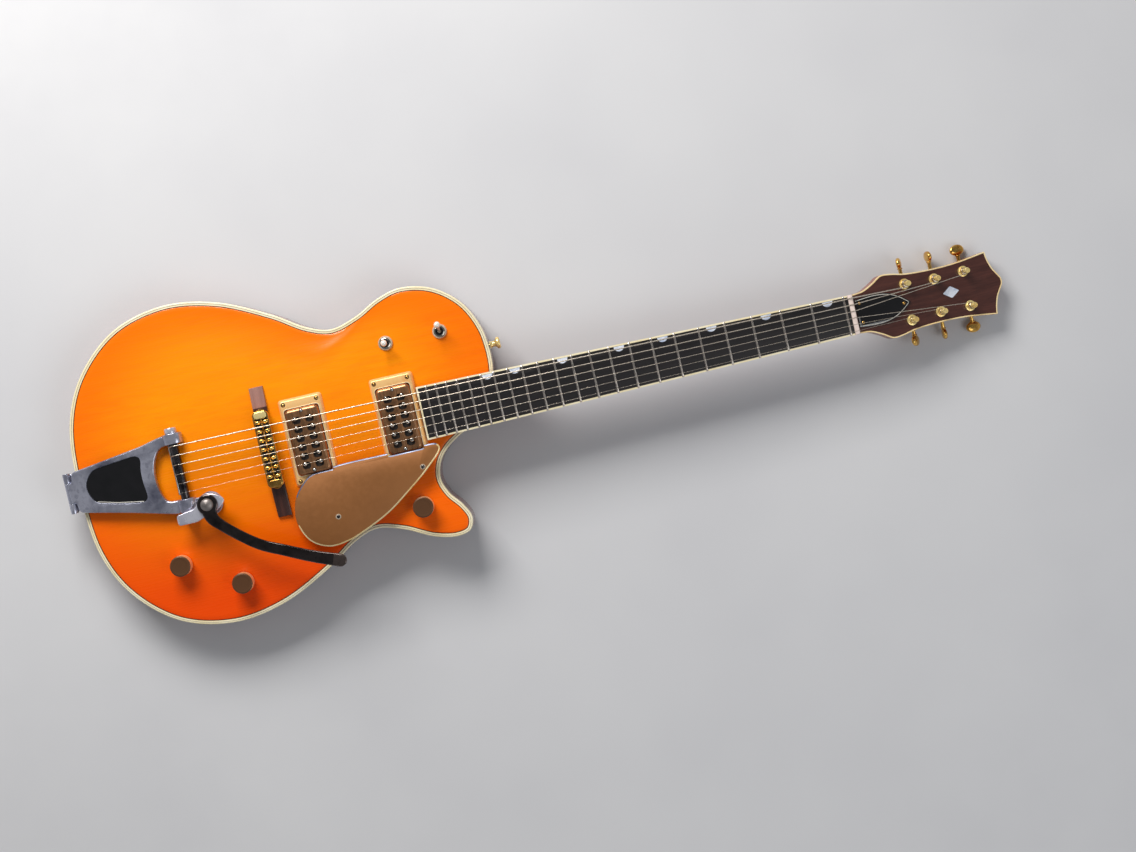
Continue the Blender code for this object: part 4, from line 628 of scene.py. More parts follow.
def make_materials():
    make_groups()
    make_top_finish()
    fine, grain, wear_and_reflection = "fine_scratches", "wood_grain", "plating_wear_and_painted_reflection"
    surface("mahogany_lacquer", (150, 62, 24), (98, 34, 12), (0.2, 0.34), coat=0.6, group=grain,
            scale=(7.0, 110.0, 110.0), bump=0.00003)
    surface("neck_mahogany", (158, 74, 30), (112, 44, 16), (0.22, 0.36), coat=0.4, group=grain,
            scale=(6.0, 120.0, 120.0), bump=0.00003)
    surface("head_face", (88, 50, 42), (58, 30, 26), (0.14, 0.26), coat=0.7, group=grain,
            scale=(9.0, 150.0, 60.0))
    surface("cream_plastic", (250, 240, 208), (238, 222, 176), (0.26, 0.40), coat=0.2, scale=35.0)
    surface("grey_line", (150, 148, 138), (110, 106, 98), (0.35, 0.5), scale=80.0)
    surface("dark_line", (96, 40, 18), (60, 22, 10), (0.35, 0.5), scale=80.0)
    surface("ebony", (30, 25, 27), (14, 12, 13), (0.36, 0.55), group=grain,
            scale=(14.0, 260.0, 120.0), bump=0.00004)
    surface("pearl", (235, 240, 250), (176, 190, 215), (0.12, 0.3), coat=0.5, group=wear_and_reflection,
            scale=(190.0, 260.0, 100.0))
    surface("fret_wire", (225, 215, 205), (160, 148, 140), (0.16, 0.34), 1.0, group=fine,
            scale=(900.0, 120.0, 400.0))
    surface("bone", (250, 232, 222), (228, 206, 196), (0.3, 0.5), scale=220.0)
    surface("rosewood", (84, 50, 42), (34, 20, 19), (0.24, 0.40), coat=0.3, group=grain,
            scale=(120.0, 14.0, 90.0), bump=0.00005)
    # Paler rosewood for the bridge base's bass end: a painted sheen.
    surface("rosewood_painted_sheen", (168, 122, 110), (132, 92, 82), (0.24, 0.40), coat=0.3, group=grain,
            scale=(120.0, 14.0, 90.0), bump=0.00005)
    surface("black_gloss", (14, 13, 16), (6, 6, 8), (0.05, 0.14), coat=0.8, scale=70.0)
    surface("black_satin", (30, 29, 30), (14, 14, 15), (0.34, 0.52), scale=90.0, bump=0.00003)
    # Near black for screw slots, holes and recesses: painted shade.
    surface("recess_painted_shade", (20, 16, 12), (8, 6, 5), (0.5, 0.8), scale=200.0)
    # The rod cover's white line; on the tailpiece casting a painted highlight.
    surface("white_line_and_painted_highlight", (240, 238, 230), (214, 210, 198), (0.3, 0.42), scale=120.0)
    surface("gold_plate", (236, 190, 104), (190, 132, 58), (0.14, 0.34), 1.0, group=wear_and_reflection,
            scale=110.0)
    # Pale copy for the bezel's raised lip: a painted highlight.
    surface("bezel_rim_painted_highlight", (255, 240, 205), (250, 225, 180), (0.30, 0.45), 0.3, group=wear_and_reflection,
            scale=30.0)
    surface("pale_gold", (255, 208, 140), (246, 186, 116), (0.34, 0.50), 0.35, group=wear_and_reflection,
            scale=70.0)
    # Pale plating of the tuners and strap buttons; on the bridge bar's bass end it is a painted
    # highlight.
    surface("pale_plate_and_painted_highlight", (255, 234, 166), (242, 204, 122), (0.18, 0.32), 0.5, group=wear_and_reflection,
            scale=110.0)
    surface("head_edge", (255, 232, 178), (244, 206, 140), (0.26, 0.40), coat=0.3, scale=35.0)
    surface("bright_gold", (255, 214, 120), (226, 168, 70), (0.10, 0.24), 1.0, group=wear_and_reflection,
            scale=160.0)
    surface("brushed_gold", (190, 140, 100), (110, 74, 50), (0.26, 0.46), 0.95, group=fine,
            scale=(1300.0, 60.0, 300.0), bump=0.00002)
    surface("satin_gold", (164, 108, 60), (156, 102, 57), (0.42, 0.52), 0.45, scale=16.0)
    # Blue-grey copy for the pickguard's upward-facing edges: a painted reflection.
    surface("guard_side_painted_reflection", (120, 128, 150), (92, 98, 118), (0.3, 0.44), 0.6, group=fine,
            scale=(30.0, 400.0, 200.0))
    # Bright copy for the pickguard's edges that face down and right: a painted highlight.
    surface("guard_edge_painted_highlight", (255, 236, 184), (248, 214, 146), (0.2, 0.34), 0.4, group=wear_and_reflection,
            scale=90.0)
    surface("knob_brass", (255, 226, 168), (226, 184, 122), (0.28, 0.44), 0.5, group=fine,
            scale=(9.0, 0.8, 0.8), bump=0.00002, own=True)
    # Dark brown for the knob's top face: a painted reflection of the dark ceiling, on brass.
    surface("knob_top_painted_dark_reflection", (104, 70, 44), (86, 56, 35), (0.34, 0.50), 0.4, group=fine,
            scale=(9.0, 0.8, 0.8), own=True)
    surface("steel_screw", (224, 222, 216), (150, 146, 138), (0.14, 0.3), 1.0, group=wear_and_reflection,
            scale=400.0)
    surface("nickel", (208, 202, 192), (130, 122, 112), (0.14, 0.34), 1.0, group=wear_and_reflection, scale=140.0)
    # Near white for the lever's round tip: a painted highlight.
    surface("lever_tip_painted_highlight", (255, 250, 240), (236, 226, 212), (0.14, 0.26), 0.25, coat=0.4, group=wear_and_reflection,
            scale=30.0)
    surface("pale_nickel", (242, 224, 200), (206, 186, 160), (0.24, 0.40), 0.5, group=wear_and_reflection,
            scale=140.0)
    surface("bolt_steel", (146, 138, 134), (104, 98, 95), (0.34, 0.48), 0.6, group=wear_and_reflection,
            scale=120.0)
    surface("dark_steel", (98, 94, 96), (40, 38, 42), (0.2, 0.42), 1.0, group=wear_and_reflection, scale=160.0)
    surface("string_metal", (218, 206, 190), (150, 140, 128), (0.2, 0.4), 1.0, group=fine,
            scale=(3.4, 0.2, 0.2), own=True)
    # Strong light and dark patches on the casting and hinge plate: painted reflections of a
    # polished surface.
    surface("bright_aluminium", (192, 194, 210), (96, 98, 118), (0.16, 0.32), 0.7, group=wear_and_reflection,
            scale=26.0)
    surface("pale_aluminium", (224, 224, 236), (186, 186, 202), (0.20, 0.36), 0.6, group=wear_and_reflection,
            scale=26.0)
    surface("dark_plating", (84, 74, 72), (26, 23, 25), (0.10, 0.20), 1.0, coat=0.6, group=wear_and_reflection,
            scale=60.0)
    surface("tip_plating", (100, 88, 84), (62, 54, 52), (0.20, 0.32), 0.8, group=wear_and_reflection, scale=60.0)
    surface("floor", (214, 214, 216), (206, 206, 209), (0.6, 0.8), scale=3.0)


# Frames of the neck, headstock and tailpiece, and shared shapes

NECK_PITCH, HEAD_TILT, CASTING_TILT = 2.5, 10.0, -4.0
NECK = at(z=66.0, turn=NECK_PITCH, axis="Y")
TAIL = at(HINGE[0], 0.0, HINGE[1], CASTING_TILT, "Y")


def mm(value):
    return 1000.0 * value


def head_place(neck):
    """The headstock's frame: behind the nut, below the board, and tilted back."""
    return NECK @ at(mm(neck.scale) + 10.5, 0.0, -5.0, HEAD_TILT, "Y")


def body_outline(samples):
    lower = [(x, -y) for x, y in reversed(LOWER_BOUT)]
    return spline([(TAIL_X, 0.0), *LOWER_BOUT, *UPPER_BOUT, *UNDER_NECK, *CUTAWAY, *lower],
                  samples, closed=True)


def top_height(x, y, body, outline=None):
    """Height of the top: a cosine that falls from the bridge and levels out at the edge.

    How far out a place lies is measured against the edge in its direction. Away from the edge
    that reach is evened out over neighbouring directions, so that the waist leaves no crease.
    """
    edge = body_outline(4) if outline is None else outline
    angles = np.arctan2(edge[:, 1], edge[:, 0])
    order = np.argsort(angles)
    angles, reaches = angles[order], np.linalg.norm(edge, axis=1)[order]
    turn = np.linspace(-math.pi, math.pi, 720, endpoint=False)
    steps = np.arange(720)
    weights = np.exp(-0.5 * (np.minimum(steps, 720 - steps) / 30.0) ** 2)
    even = np.fft.ifft(np.fft.fft(np.interp(turn, angles, reaches, period=2 * math.pi))
                       * np.fft.fft(weights / weights.sum())).real
    here, far = np.arctan2(y, x), np.hypot(x, y)
    share = np.minimum(far / np.interp(here, angles, reaches, period=2 * math.pi) / 0.985, 1.0)
    inner = np.minimum(far / np.interp(here, turn, even, period=2 * math.pi) / 0.985, 1.0)
    blend = np.clip((share - 0.8) / 0.2, 0.0, 1.0)
    blend = blend * blend * (3 - 2 * blend)
    share = share * blend + inner * (1 - blend)
    return mm(body.rim) + mm(body.arch) * 0.5 * (1 + np.cos(math.pi * share ** 1.5))


def half_width(neck, x):
    """Half width of the fingerboard at a distance from the saddles."""
    share = (mm(neck.scale) - x) / (mm(neck.scale) - mm(neck.board_end))
    return (mm(neck.nut_width) + (mm(neck.end_width) - mm(neck.nut_width)) * share) / 2


def crown(neck, y):
    """Drop of the fingerboard's round surface below its middle."""
    return mm(neck.radius) - np.sqrt(mm(neck.radius) ** 2 - np.asarray(y) ** 2)


def fret_place(neck, number):
    """Distance from the saddles to a fret: each is a twelfth root of two closer."""
    return mm(neck.scale) * 2 ** (-number / 12)


def on_side(angle, height, outline):
    """A place on the body's side, its axis pointing outwards."""
    index = np.argmin(np.abs(np.arctan2(outline[:, 1], outline[:, 0]) - angle))
    along = outline[(index + 1) % len(outline)] - outline[index - 1]
    return facing(outline[index], left_of(along) * -turning(outline), height)


def facing(point, out, height):
    matrix = Matrix.Translation((point[0], point[1], height))
    matrix = matrix @ Matrix.Rotation(math.atan2(out[1], out[0]), 4, "Z")
    return np.array(matrix @ Matrix.Rotation(math.pi / 2, 4, "Y"))


# Body

def cover_outline(size_x, size_y, x, y, turn, shrink):
    return rounded_rectangle(
        size_x - 2 * shrink, size_y - 2 * shrink, size_y * 0.45 - shrink, x, y, turn, 8)


REAR_COVERS = {"control_cover": (112.0, 50.0, -89.0, -112.0, -28.0),
               "switch_cover": (100.0, 42.0, 172.0, 79.0, -3.0)}


def make_body_back(body, outline):
    """The sides and the back, with recesses for the two rear covers."""
    ledge = mm(body.rim) - mm(body.cap) - 0.3
    rows = []
    for a in np.linspace(0, math.pi / 2, 6):
        rows.append(raised(inwards(outline, 1.5 * (1 - math.sin(a))), 1.5 * (1 - math.cos(a))))
    rows += [raised(outline, height) for height in (12.0, 25.0, ledge)]
    rows.append(raised(inwards(outline, mm(body.binding) + 0.6), ledge))
    carved = [plate([cover_outline(*place, 0.0)], -1.0, 2.8) for place in REAR_COVERS.values()]
    carved.append(moved(box((164.7, -27.3, -46.3), (302.0, 27.3, 30.0), 0.3, 1), NECK))
    Piece().add(rows_shell(rows), "mahogany_lacquer").build("body_back", "stained_mahogany",
                                                            carved=carved)


def make_body_top(body, outline):
    """The arched top, as rings of the outline drawn in to the middle."""
    inner = inwards(outline, mm(body.binding) + 0.25)
    rows = [raised(inner, mm(body.rim) - mm(body.cap))]
    own = [np.ones((len(inner), 3))]
    for share in np.concatenate([[1.0], np.linspace(0.994, 0.02, 44)]):
        ring = inner * share
        height = top_height(ring[:, 0], ring[:, 1], body, outline)
        if share == 1.0:
            height = height - 0.35
        rows.append(raised(ring, height))
        own.append(np.full((len(ring), 3), share))
    Piece().add(rows_shell(rows, own=own), "orange_lacquer_and_painted_shade").build("body_top", "orange_top")


def make_binding(body, outline):
    """The edge binding: cream with a thin grey line in it and a dark line inside."""
    low, high, wide = mm(body.rim) - mm(body.cap), mm(body.rim), mm(body.binding)
    profile = [(0.0, low, "cream_plastic"), (0.0, high - 1.2, "cream_plastic")]
    for a in np.linspace(0.3, math.pi / 2, 4):
        profile.append((1.2 * (1 - math.cos(a)), high - 1.2 * (1 - math.sin(a)), "cream_plastic"))
    profile += [(0.42 * wide, high, "grey_line"), (0.52 * wide, high, "cream_plastic"),
                (0.87 * wide, high, "dark_line"), (wide, high, "dark_line"),
                (wide, low, "cream_plastic")]
    rows = [raised(inwards(outline, inset), z) for inset, z, _ in profile]
    Piece().add(rows_shell(rows, closed=True), lambda i: profile[i // len(outline)][2]).build(
        "top_binding", "cream_binding")


def make_rear_covers():
    for name, place in REAR_COVERS.items():
        piece = Piece().add(plate([cover_outline(*place, 0.3)], 0.3, 2.5, 0.5), "black_satin")
        length_x, width, x, y, turn = place
        frame_of = at(x, y, 0.0, turn) @ at(turn=180.0, axis="X")
        for sx, sy in ((1, 0), (-1, 0), (0.45, 1), (0.45, -1), (-0.45, 1), (-0.45, -1)):
            piece.screw(sx * (length_x / 2 - 5), sy * (width / 2 - 4.6), -0.35, 1.9,
                        place=frame_of, turn=37.0 * sx + 50 * sy)
        piece.build(name, "black_plastic")


class GUITAR_OT_materials(bpy.types.Operator):
    """Shared effects and the material of every surface"""

    bl_idname = "guitar.materials"
    bl_label = "Materials"

    def execute(self, context):
        make_materials()
        for node in ("truss_rod", *(name.replace("knob", "pot") for name in KNOB_PLACES)):
            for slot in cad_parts[node].material_slots:
                slot.material = bpy.data.materials["nickel"]
        return {"FINISHED"}


class GUITAR_OT_body(bpy.types.Operator):
    """Sides and back, arched top, edge binding and rear covers"""

    bl_idname = "guitar.body"
    bl_label = "Body"

    def execute(self, context):
        body = context.scene.guitar_body
        outline = body_outline(body.samples)
        make_body_back(body, outline)
        make_body_top(body, outline)
        make_binding(body, outline)
        make_rear_covers()
        return {"FINISHED"}


# Neck, fingerboard and headstock

def head_outline():
    return mirrored(np.concatenate([spline(HEAD_SIDE, 8)[:-1], spline(HEAD_TIP, 8)]))


def make_neck(neck):
    """Shaft with its heel and tenon, and the headstock with its bound dark face."""
    twelfth, nut = mm(neck.scale) / 2, mm(neck.scale)
    base = -mm(neck.board) - 0.3
    stations = spline([
        (252.0, base, 38.5, 4.5), (264.0, base, 37.5, 4.2), (272.0, base, 33.0, 3.6),
        (280.0, base, 27.5, 3.0), (290.0, base, 21.5, 2.6), (302.0, base, 18.5, 2.3),
        (twelfth + 20, base, 17.5, 2.2), (nut - 20, base, 15.0, 2.2), (nut - 4, base, 15.4, 2.3),
        (nut + 5.5, base, 15.6, 2.4), (nut + 16, base - 3.0, 13.0, 2.4),
        (nut + 28, base - 6.5, 10.8, 2.4), (nut + 42, base - 10.5, 8.2, 2.4)], 5)
    turn = np.linspace(0, math.pi, 25)
    rows = []
    for x, top, depth, square in stations:
        y = np.sign(np.cos(turn)) * np.abs(np.cos(turn)) ** (2 / square)
        z = top - depth * np.sin(turn) ** (2 / square)
        rows.append(np.column_stack([np.full(25, x), half_width(neck, min(x, nut + 6)) * y, z]))
    piece = Piece(NECK, "neck_mahogany").add(rows_shell(rows))
    piece.add(box((165.3, -27.0, -46.0), (256.0, 27.0, base - 0.3), 0.3, 1))
    head = np.linalg.inv(NECK) @ head_place(neck)
    outline = head_outline()
    holes = [circle(x, side * y, 4.9, 24) for x, y in POST_PLACES for side in (1, -1)]
    edge = mm(neck.binding) * 0.7
    piece.add(plate([outline, *holes], -mm(neck.head), -2.25, 0.0), place=head)
    piece.add(plate([outline, inwards(outline, edge)], -2.2, 0.0, 0.25, 2), "head_edge", head)
    piece.add(plate([inwards(outline, edge + 0.05), *holes], -2.2, -0.05), "head_face", head)
    diamond = softened([(9.5, 0), (0, 6.5), (-9.5, 0), (0, -6.5)], 1.2) + (109.3, 0)
    piece.add(plate([diamond], -1.0, 0.05), "pearl", head)
    piece.build("neck", "neck_wood", sharp=38)


def board_row(neck, x, low, from_y, to_y, steps=13):
    """A ring across the board between two places, its top following the crown."""
    y = np.linspace(from_y, to_y, steps)
    ends = [(x, to_y, low), (x, from_y, low)]
    return np.concatenate([np.column_stack([np.full(steps, x), y, -crown(neck, y)]), ends])


def make_fingerboard(neck):
    """Ebony with bound edges, crowned frets and half-moon inlays along the bass side."""
    start, end = mm(neck.board_end), mm(neck.scale) + 4.3
    edge, low = mm(neck.binding) * 0.9, -mm(neck.board)
    piece = Piece(NECK)
    rows = [board_row(neck, x, low, edge - half_width(neck, x), half_width(neck, x) - edge)
            for x in (start + edge, end)]
    piece.add(rows_shell(rows), "ebony")
    for side in (1, -1):
        rows = [board_row(neck, x, low, side * (half_width(neck, x) - edge),
                          side * half_width(neck, x), 4) for x in (start, end)]
        piece.add(rows_shell(rows), "cream_plastic")
    half = half_width(neck, start) - edge - 0.02
    piece.add(rows_shell([board_row(neck, x, low, -half, half)
                          for x in (start, start + edge - 0.02)]), "cream_plastic")
    turn = np.linspace(0, math.pi, 9)
    for number in range(neck.frets + 1):
        x = fret_place(neck, number)
        reach = half_width(neck, x) - 0.35
        rows = []
        for share in (-1, -0.985, -0.95, *np.linspace(-0.85, 0.85, 13), 0.95, 0.985, 1):
            tall = 1.0 if abs(share) < 0.9 else {0.95: 0.9, 0.985: 0.6}.get(abs(share), 0.15)
            y = share * reach
            z = np.concatenate([tall * np.sin(turn), [-0.4, -0.4]]) - crown(neck, y)
            wide = np.concatenate([1.2 * np.cos(turn), [-1.2, 1.2]])
            rows.append(np.column_stack([x + wide, np.full(11, y), z]))
        piece.add(rows_shell(rows), "fret_wire")
    for number in INLAID_FRETS:
        x = (fret_place(neck, number) + fret_place(neck, number - 1)) / 2
        y = half_width(neck, x) - edge - 0.25
        moon = circle(x, y, 5.6, 32, -5.4)[:17]
        piece.add(rows_shell([
            raised(moon, lift - crown(neck, moon[:, 1])) for lift in (-0.5, 0.04)]), "pearl")
    piece.build("fingerboard", "ebony_board", sharp=40)


def make_nut(neck, hardware):
    """Bone nut with a rounded back and a slot for each string."""
    front, half = mm(neck.scale) + 4.5, half_width(neck, mm(neck.scale))
    places = [(2.5 - i) / 5 * mm(hardware.nut_spread) for i in range(6)]
    top = [(-half, -3.0), (-half, 0.9), (-half + 0.5, 1.4)]
    for y, wide in sorted(zip(places, STRING_DIAMETERS)):
        reach = wide / 2 + 0.12
        top += [(y - reach, 2.0), (y - reach, 1.6), (y + reach, 1.6), (y + reach, 2.0)]
    top += [(half - 0.5, 1.4), (half, 0.9), (half, -3.0), (half, -3.8), (-half, -3.8)]
    rows = []
    for x, drop in ((0.0, 0.15), (0.15, 0.0), (3.4, 0.0), (4.5, 0.25), (5.1, 0.9)):
        rows.append([(front + x, y, z - drop if z > 0 else z) for y, z in top])
    Piece(NECK).add(rows_shell(rows), "bone").build("nut", "bone_nut", sharp=25)


def make_rod_cover(neck):
    """Black plate with a white line near its edge and three screws."""
    edge = spline(ROD_COVER, 10)
    outline = mirrored(edge)
    whole = np.concatenate([edge, edge[-2::-1] * (1, -1)])
    side = -left_of(unit(np.gradient(whole, axis=0)))
    line = np.concatenate([whole + 1.0 * side, (whole + 1.6 * side)[::-1]])
    piece = Piece(head_place(neck))
    piece.add(plate([outline], 0.3, 1.9, 0.3), "black_gloss")
    piece.add(plate([line], 1.6, 2.02), "white_line_and_painted_highlight")
    piece.add(plate([inwards(outline, 1.7)], 1.6, 2.3, 0.25), "black_gloss")
    for x, y in ((5.2, 10.4), (5.2, -10.4), (54.0, 0.0)):
        piece.screw(x, y, 2.3, 1.6, "gold_plate", turn=40.0)
    piece.build("truss_rod_cover", "black_plastic")


class GUITAR_OT_neck(bpy.types.Operator):
    """Neck and headstock, fingerboard with frets and inlays, nut and rod cover"""

    bl_idname = "guitar.neck"
    bl_label = "Neck"

    def execute(self, context):
        neck = context.scene.guitar_neck
        make_neck(neck)
        make_fingerboard(neck)
        make_nut(neck, context.scene.guitar_hardware)
        make_rod_cover(neck)
        return {"FINISHED"}


# Tuning machines

def make_tuner(label, index, side, neck, tuners):
    """Housing with its bushing, string post with its winding, and button on its shaft."""
    x, y = POST_PLACES[index]
    place = head_place(neck) @ at(x, side * y, 0.0)
    top = -mm(neck.head) - 0.3
    tag = f"{label}_{index + 1}"

    housing = Piece(place, "gold_plate")
    housing.add(box((-7.75, -7.5, top - 10.0), (14.25, 7.5, top), 2.2, 4))
    housing.add(box((-6.4, -6.2, top - 10.0), (12.9, 6.2, top - 8.0), 1.2))
    housing.screw(-3.9, 5.0 * side, top - 9.7, 0.9, "gold_plate", turn=180.0)
    housing.add(turned([
        (4.6, 0.9), (4.6, top - 0.2), (3.35, top - 0.2), (3.35, 0.9)], 28, closed=True))
    housing.add(turned([(5.7, 0.3), (5.7, 0.75), (5.3, 0.95), (3.4, 0.95), (3.4, 0.3)], 36,
                       closed=True), "pale_plate_and_painted_highlight")
    hexagon = softened(circle(0, 0, 5.1, 6), 0.6)
    housing.add(plate([hexagon, circle(0, 0, 3.4, 30)], 0.95, 2.2, 0.3), "pale_plate_and_painted_highlight")
    housing.build(f"tuner_housing_{tag}", "gold_hardware")

    radius, rise = mm(tuners.post), mm(tuners.rise)
    foot = top - 8.2
    post = Piece(place).add(turned([
        (0, rise), (radius * 0.45, rise), (radius * 0.5, rise - 0.5), (radius * 0.72, rise - 0.5),
        (radius * 0.8, rise), (radius * 0.9, rise - 0.15), (radius, rise - 0.8), (radius, 9.0),
        (radius * 0.94, 8.2), (radius * 0.85, 7.4), (radius * 0.85, 3.4), (radius, 2.5),
        (radius, foot), (0, foot)], 28), "pale_plate_and_painted_highlight")
    wire, turns = STRING_DIAMETERS[index if side == 1 else 5 - index], 4.25
    share = np.linspace(0, 1, 110)
    angle = -side * (math.pi / 2 + share * turns * 2 * math.pi)
    wound = radius * 0.85 + wire / 2
    coil = np.column_stack([wound * np.cos(angle), wound * np.sin(angle),
                            5.0 - 1.2 + share * min(2.9, turns * wire * 1.03)])
    post.add(tube(coil, wire / 2, 8), "string_metal")
    post.build(f"tuner_post_{tag}", "gold_hardware", f"tuner_{tag}_post")

    out = mm(tuners.reach) - y
    turn = BUTTON_TURNS[label][index]
    button = Piece(place @ at(mm(tuners.shaft), 0.0, top - 5.0, turn, "Y"), "gold_plate")
    rows = []
    for t in np.linspace(-1, 1, 15):
        wide = max((1 - abs(t) ** 2.6) ** (1 / 2.6), 0.18)
        rows.append(raised(circle(0.0, side * out, 8.6 * wide, 40, 6.0 * wide), 2.9 * t))
    button.add(rows_shell(rows))
    inner, outer = sorted((-side * 2.7, side * (out - 4.0)))
    button.add(rod(0, 0, 2.0, inner, outer))
    for low, thick, wide in ((8.1, 2.0, 3.4), (out - 6.6, 1.4, 2.9)):
        inner, outer = sorted((side * low, side * (low + thick)))
        button.add(rod(0, 0, wide, inner, outer, 0.4))
    button.build(f"tuner_button_{tag}", "gold_hardware", f"tuner_{tag}_button")


class GUITAR_OT_tuners(bpy.types.Operator):
    """Six tuning machines with turning posts and buttons"""

    bl_idname = "guitar.tuners"
    bl_label = "Tuners"

    def execute(self, context):
        for label, side in (("bass", 1), ("treble", -1)):
            for index in range(3):
                make_tuner(label, index, side, context.scene.guitar_neck,
                           context.scene.guitar_tuners)
        return {"FINISHED"}


# Pickups, pickguard and bridge

def make_pickup(name, x, ring_top, top, hardware):
    """Sloping bezel with four screws, and a cover with a notch and a pole screw for each pole."""
    long, wide = mm(hardware.ring_length), mm(hardware.ring_width)
    cover_long, cover_wide = mm(hardware.cover_length), mm(hardware.cover_width)
    rows = []
    low = 44.0 - ring_top
    for size_x, size_y, sections in (
            (wide, long, ((0.0, 3.4, low), (0.0, 3.4, -5.0), (-0.7, 3.3, -4.3), (-3.6, 3.0, -1.1),
                          (-4.6, 2.8, -0.6), (-6.0, 2.5, -0.45))),
            (cover_wide, cover_long, ((3.0, 4.0, -0.45), (2.6, 3.8, -0.1), (1.7, 3.4, -0.05),
                                      (1.2, 3.2, -0.5), (1.2, 3.2, low)))):
        rows += [raised(rounded_rectangle(size_x + more, size_y + more, corner, x), ring_top + z)
                 for more, corner, z in sections]
    # The raised lip round the cover is painted paler than the bezel: a painted highlight.
    ring = Piece().add(rows_shell(rows, closed=True),
                       lambda i: "bezel_rim_painted_highlight" if 6 <= i // len(rows[0]) <= 8 else "pale_gold")
    for sx in (1, -1):
        for sy in (1, -1):
            place = (x + sx * (wide / 2 - 5.6), sy * (long / 2 - 5.6))
            # A near-black disc round each bezel screw's seat: painted shade.
            ring.add(pin(2.3, -1, 0.03, 24), "recess_painted_shade", at(*place, ring_top - 0.45))
            ring.screw(*place, ring_top - 0.5, 1.7, "gold_plate", turn=30 * sx + 10 * sy)
    ring.build(f"{name}_pickup_ring", "gold_bezel")

    pickup = Piece()
    edge = rounded_rectangle(cover_wide, cover_long, 4.6, x, steps=8)
    poles = [(x + row * 8.55, (i - 2.5) * 9.64, row) for row in (-1, 1) for i in range(6)]
    notches = [rounded_rectangle(8.4, 7.2, 2.7, px - row * 1.55, py - 1.8) for px, py, row in poles]
    pickup.add(plate([edge, *notches], 47.0, top, 3.5, 7, 0.1), "brushed_gold")
    # A near-black plate under the cover's notches: painted shade in the notches.
    pickup.add(plate([rounded_rectangle(26.0, 62.0, 2.0, x)], 47.4, top - 3.2), "recess_painted_shade")
    for number, (px, py, row) in enumerate(poles):
        pickup.screw(px, py, top - 0.9, 2.1, "steel_screw", turn=25.0 + 53 * number)
        pickup.add(pin(2.05, 48, top - 1.1), "steel_screw", at(px, py))
    for side in (1, -1):
        # A near-black disc round each cover screw: painted shade.
        pickup.add(pin(2.1, -1, 0.02), "recess_painted_shade", at(x, side * (cover_long / 2 - 3.1), top))
        pickup.screw(x, side * (cover_long / 2 - 3.1), top - 0.15, 1.6, "steel_screw")
    pickup.build(f"{name}_pickup", "gold_pickup")


def guard_outline(hardware):
    """The pickguard's edge, with a square notch round each pickup's cover."""
    outline = spline(GUARD_EDGE, 10, closed=True)
    reach = mm(hardware.cover_width) / 2 + 0.5
    deep = -mm(hardware.cover_length) / 2 - 0.5
    walls = [x + side * reach for x, _, _ in PICKUPS.values() for side in (-1, 1)]
    points = []
    for here, after in zip(outline, np.roll(outline, -1, axis=0)):
        points.append(here)
        for wall in sorted(walls):
            if here[0] < wall < after[0] and min(here[1], after[1]) > deep:
                y = np.interp(wall, (here[0], after[0]), (here[1], after[1]))
                points += [(wall - 0.05, y), (wall + 0.05, y)]
    points = np.array(points)
    for x, _, _ in PICKUPS.values():
        inside = (np.abs(points[:, 0] - x) < reach) & (points[:, 1] > deep) & (points[:, 1] < 0)
        points[inside, 1] = deep
    return points


def make_pickguard(body, hardware):
    """Satin plate on spacers. Its rounded edge is painted bright where it faces down and right, a
    painted highlight, and blue-grey where it faces up, a painted reflection.
    """
    outline = guard_outline(hardware)
    piece = Piece()
    rows = []
    for inset, z in ((0.6, 58.9), (0.0, 59.3), (0.0, 59.9), (0.35, 60.35), (1.5, 60.9)):
        rows.append(raised(inwards(outline, inset), z))
    count = len(outline)
    out = -left_of(unit(np.roll(outline, -1, axis=0) - outline)) * turning(outline)
    # Edges facing down and right are painted bright, a painted highlight; other edges facing up are
    # painted blue-grey, a painted reflection.
    lit, upper = out @ (0.5, -0.87) > -0.3, out[:, 1] > 0.5

    def paint(number):
        if not count <= number < 4 * count:
            return "satin_gold"
        if lit[number % count]:
            return "guard_edge_painted_highlight"
        return "guard_side_painted_reflection" if upper[number % count] else "satin_gold"
    piece.add(rows_shell(rows), paint)
    for x, y in ((153.7, -54.3), (55.4, -85.8)):
        low = float(top_height(x, y, body)) - 1.0
        piece.add(pin(3.5, low, 59.2, 24), "nickel", at(x, y))
        piece.add(turned([(2.9, 0.12), (2.7, 0.3), (1.9, 0.3), (1.9, -1), (2.9, -1)], 28, True),
                  "pale_nickel", at(x, y, 60.9))
        piece.screw(x, y, 61.0, 2.1, "dark_steel", turn=60.0)
    piece.build("pickguard", "gold_pickguard")


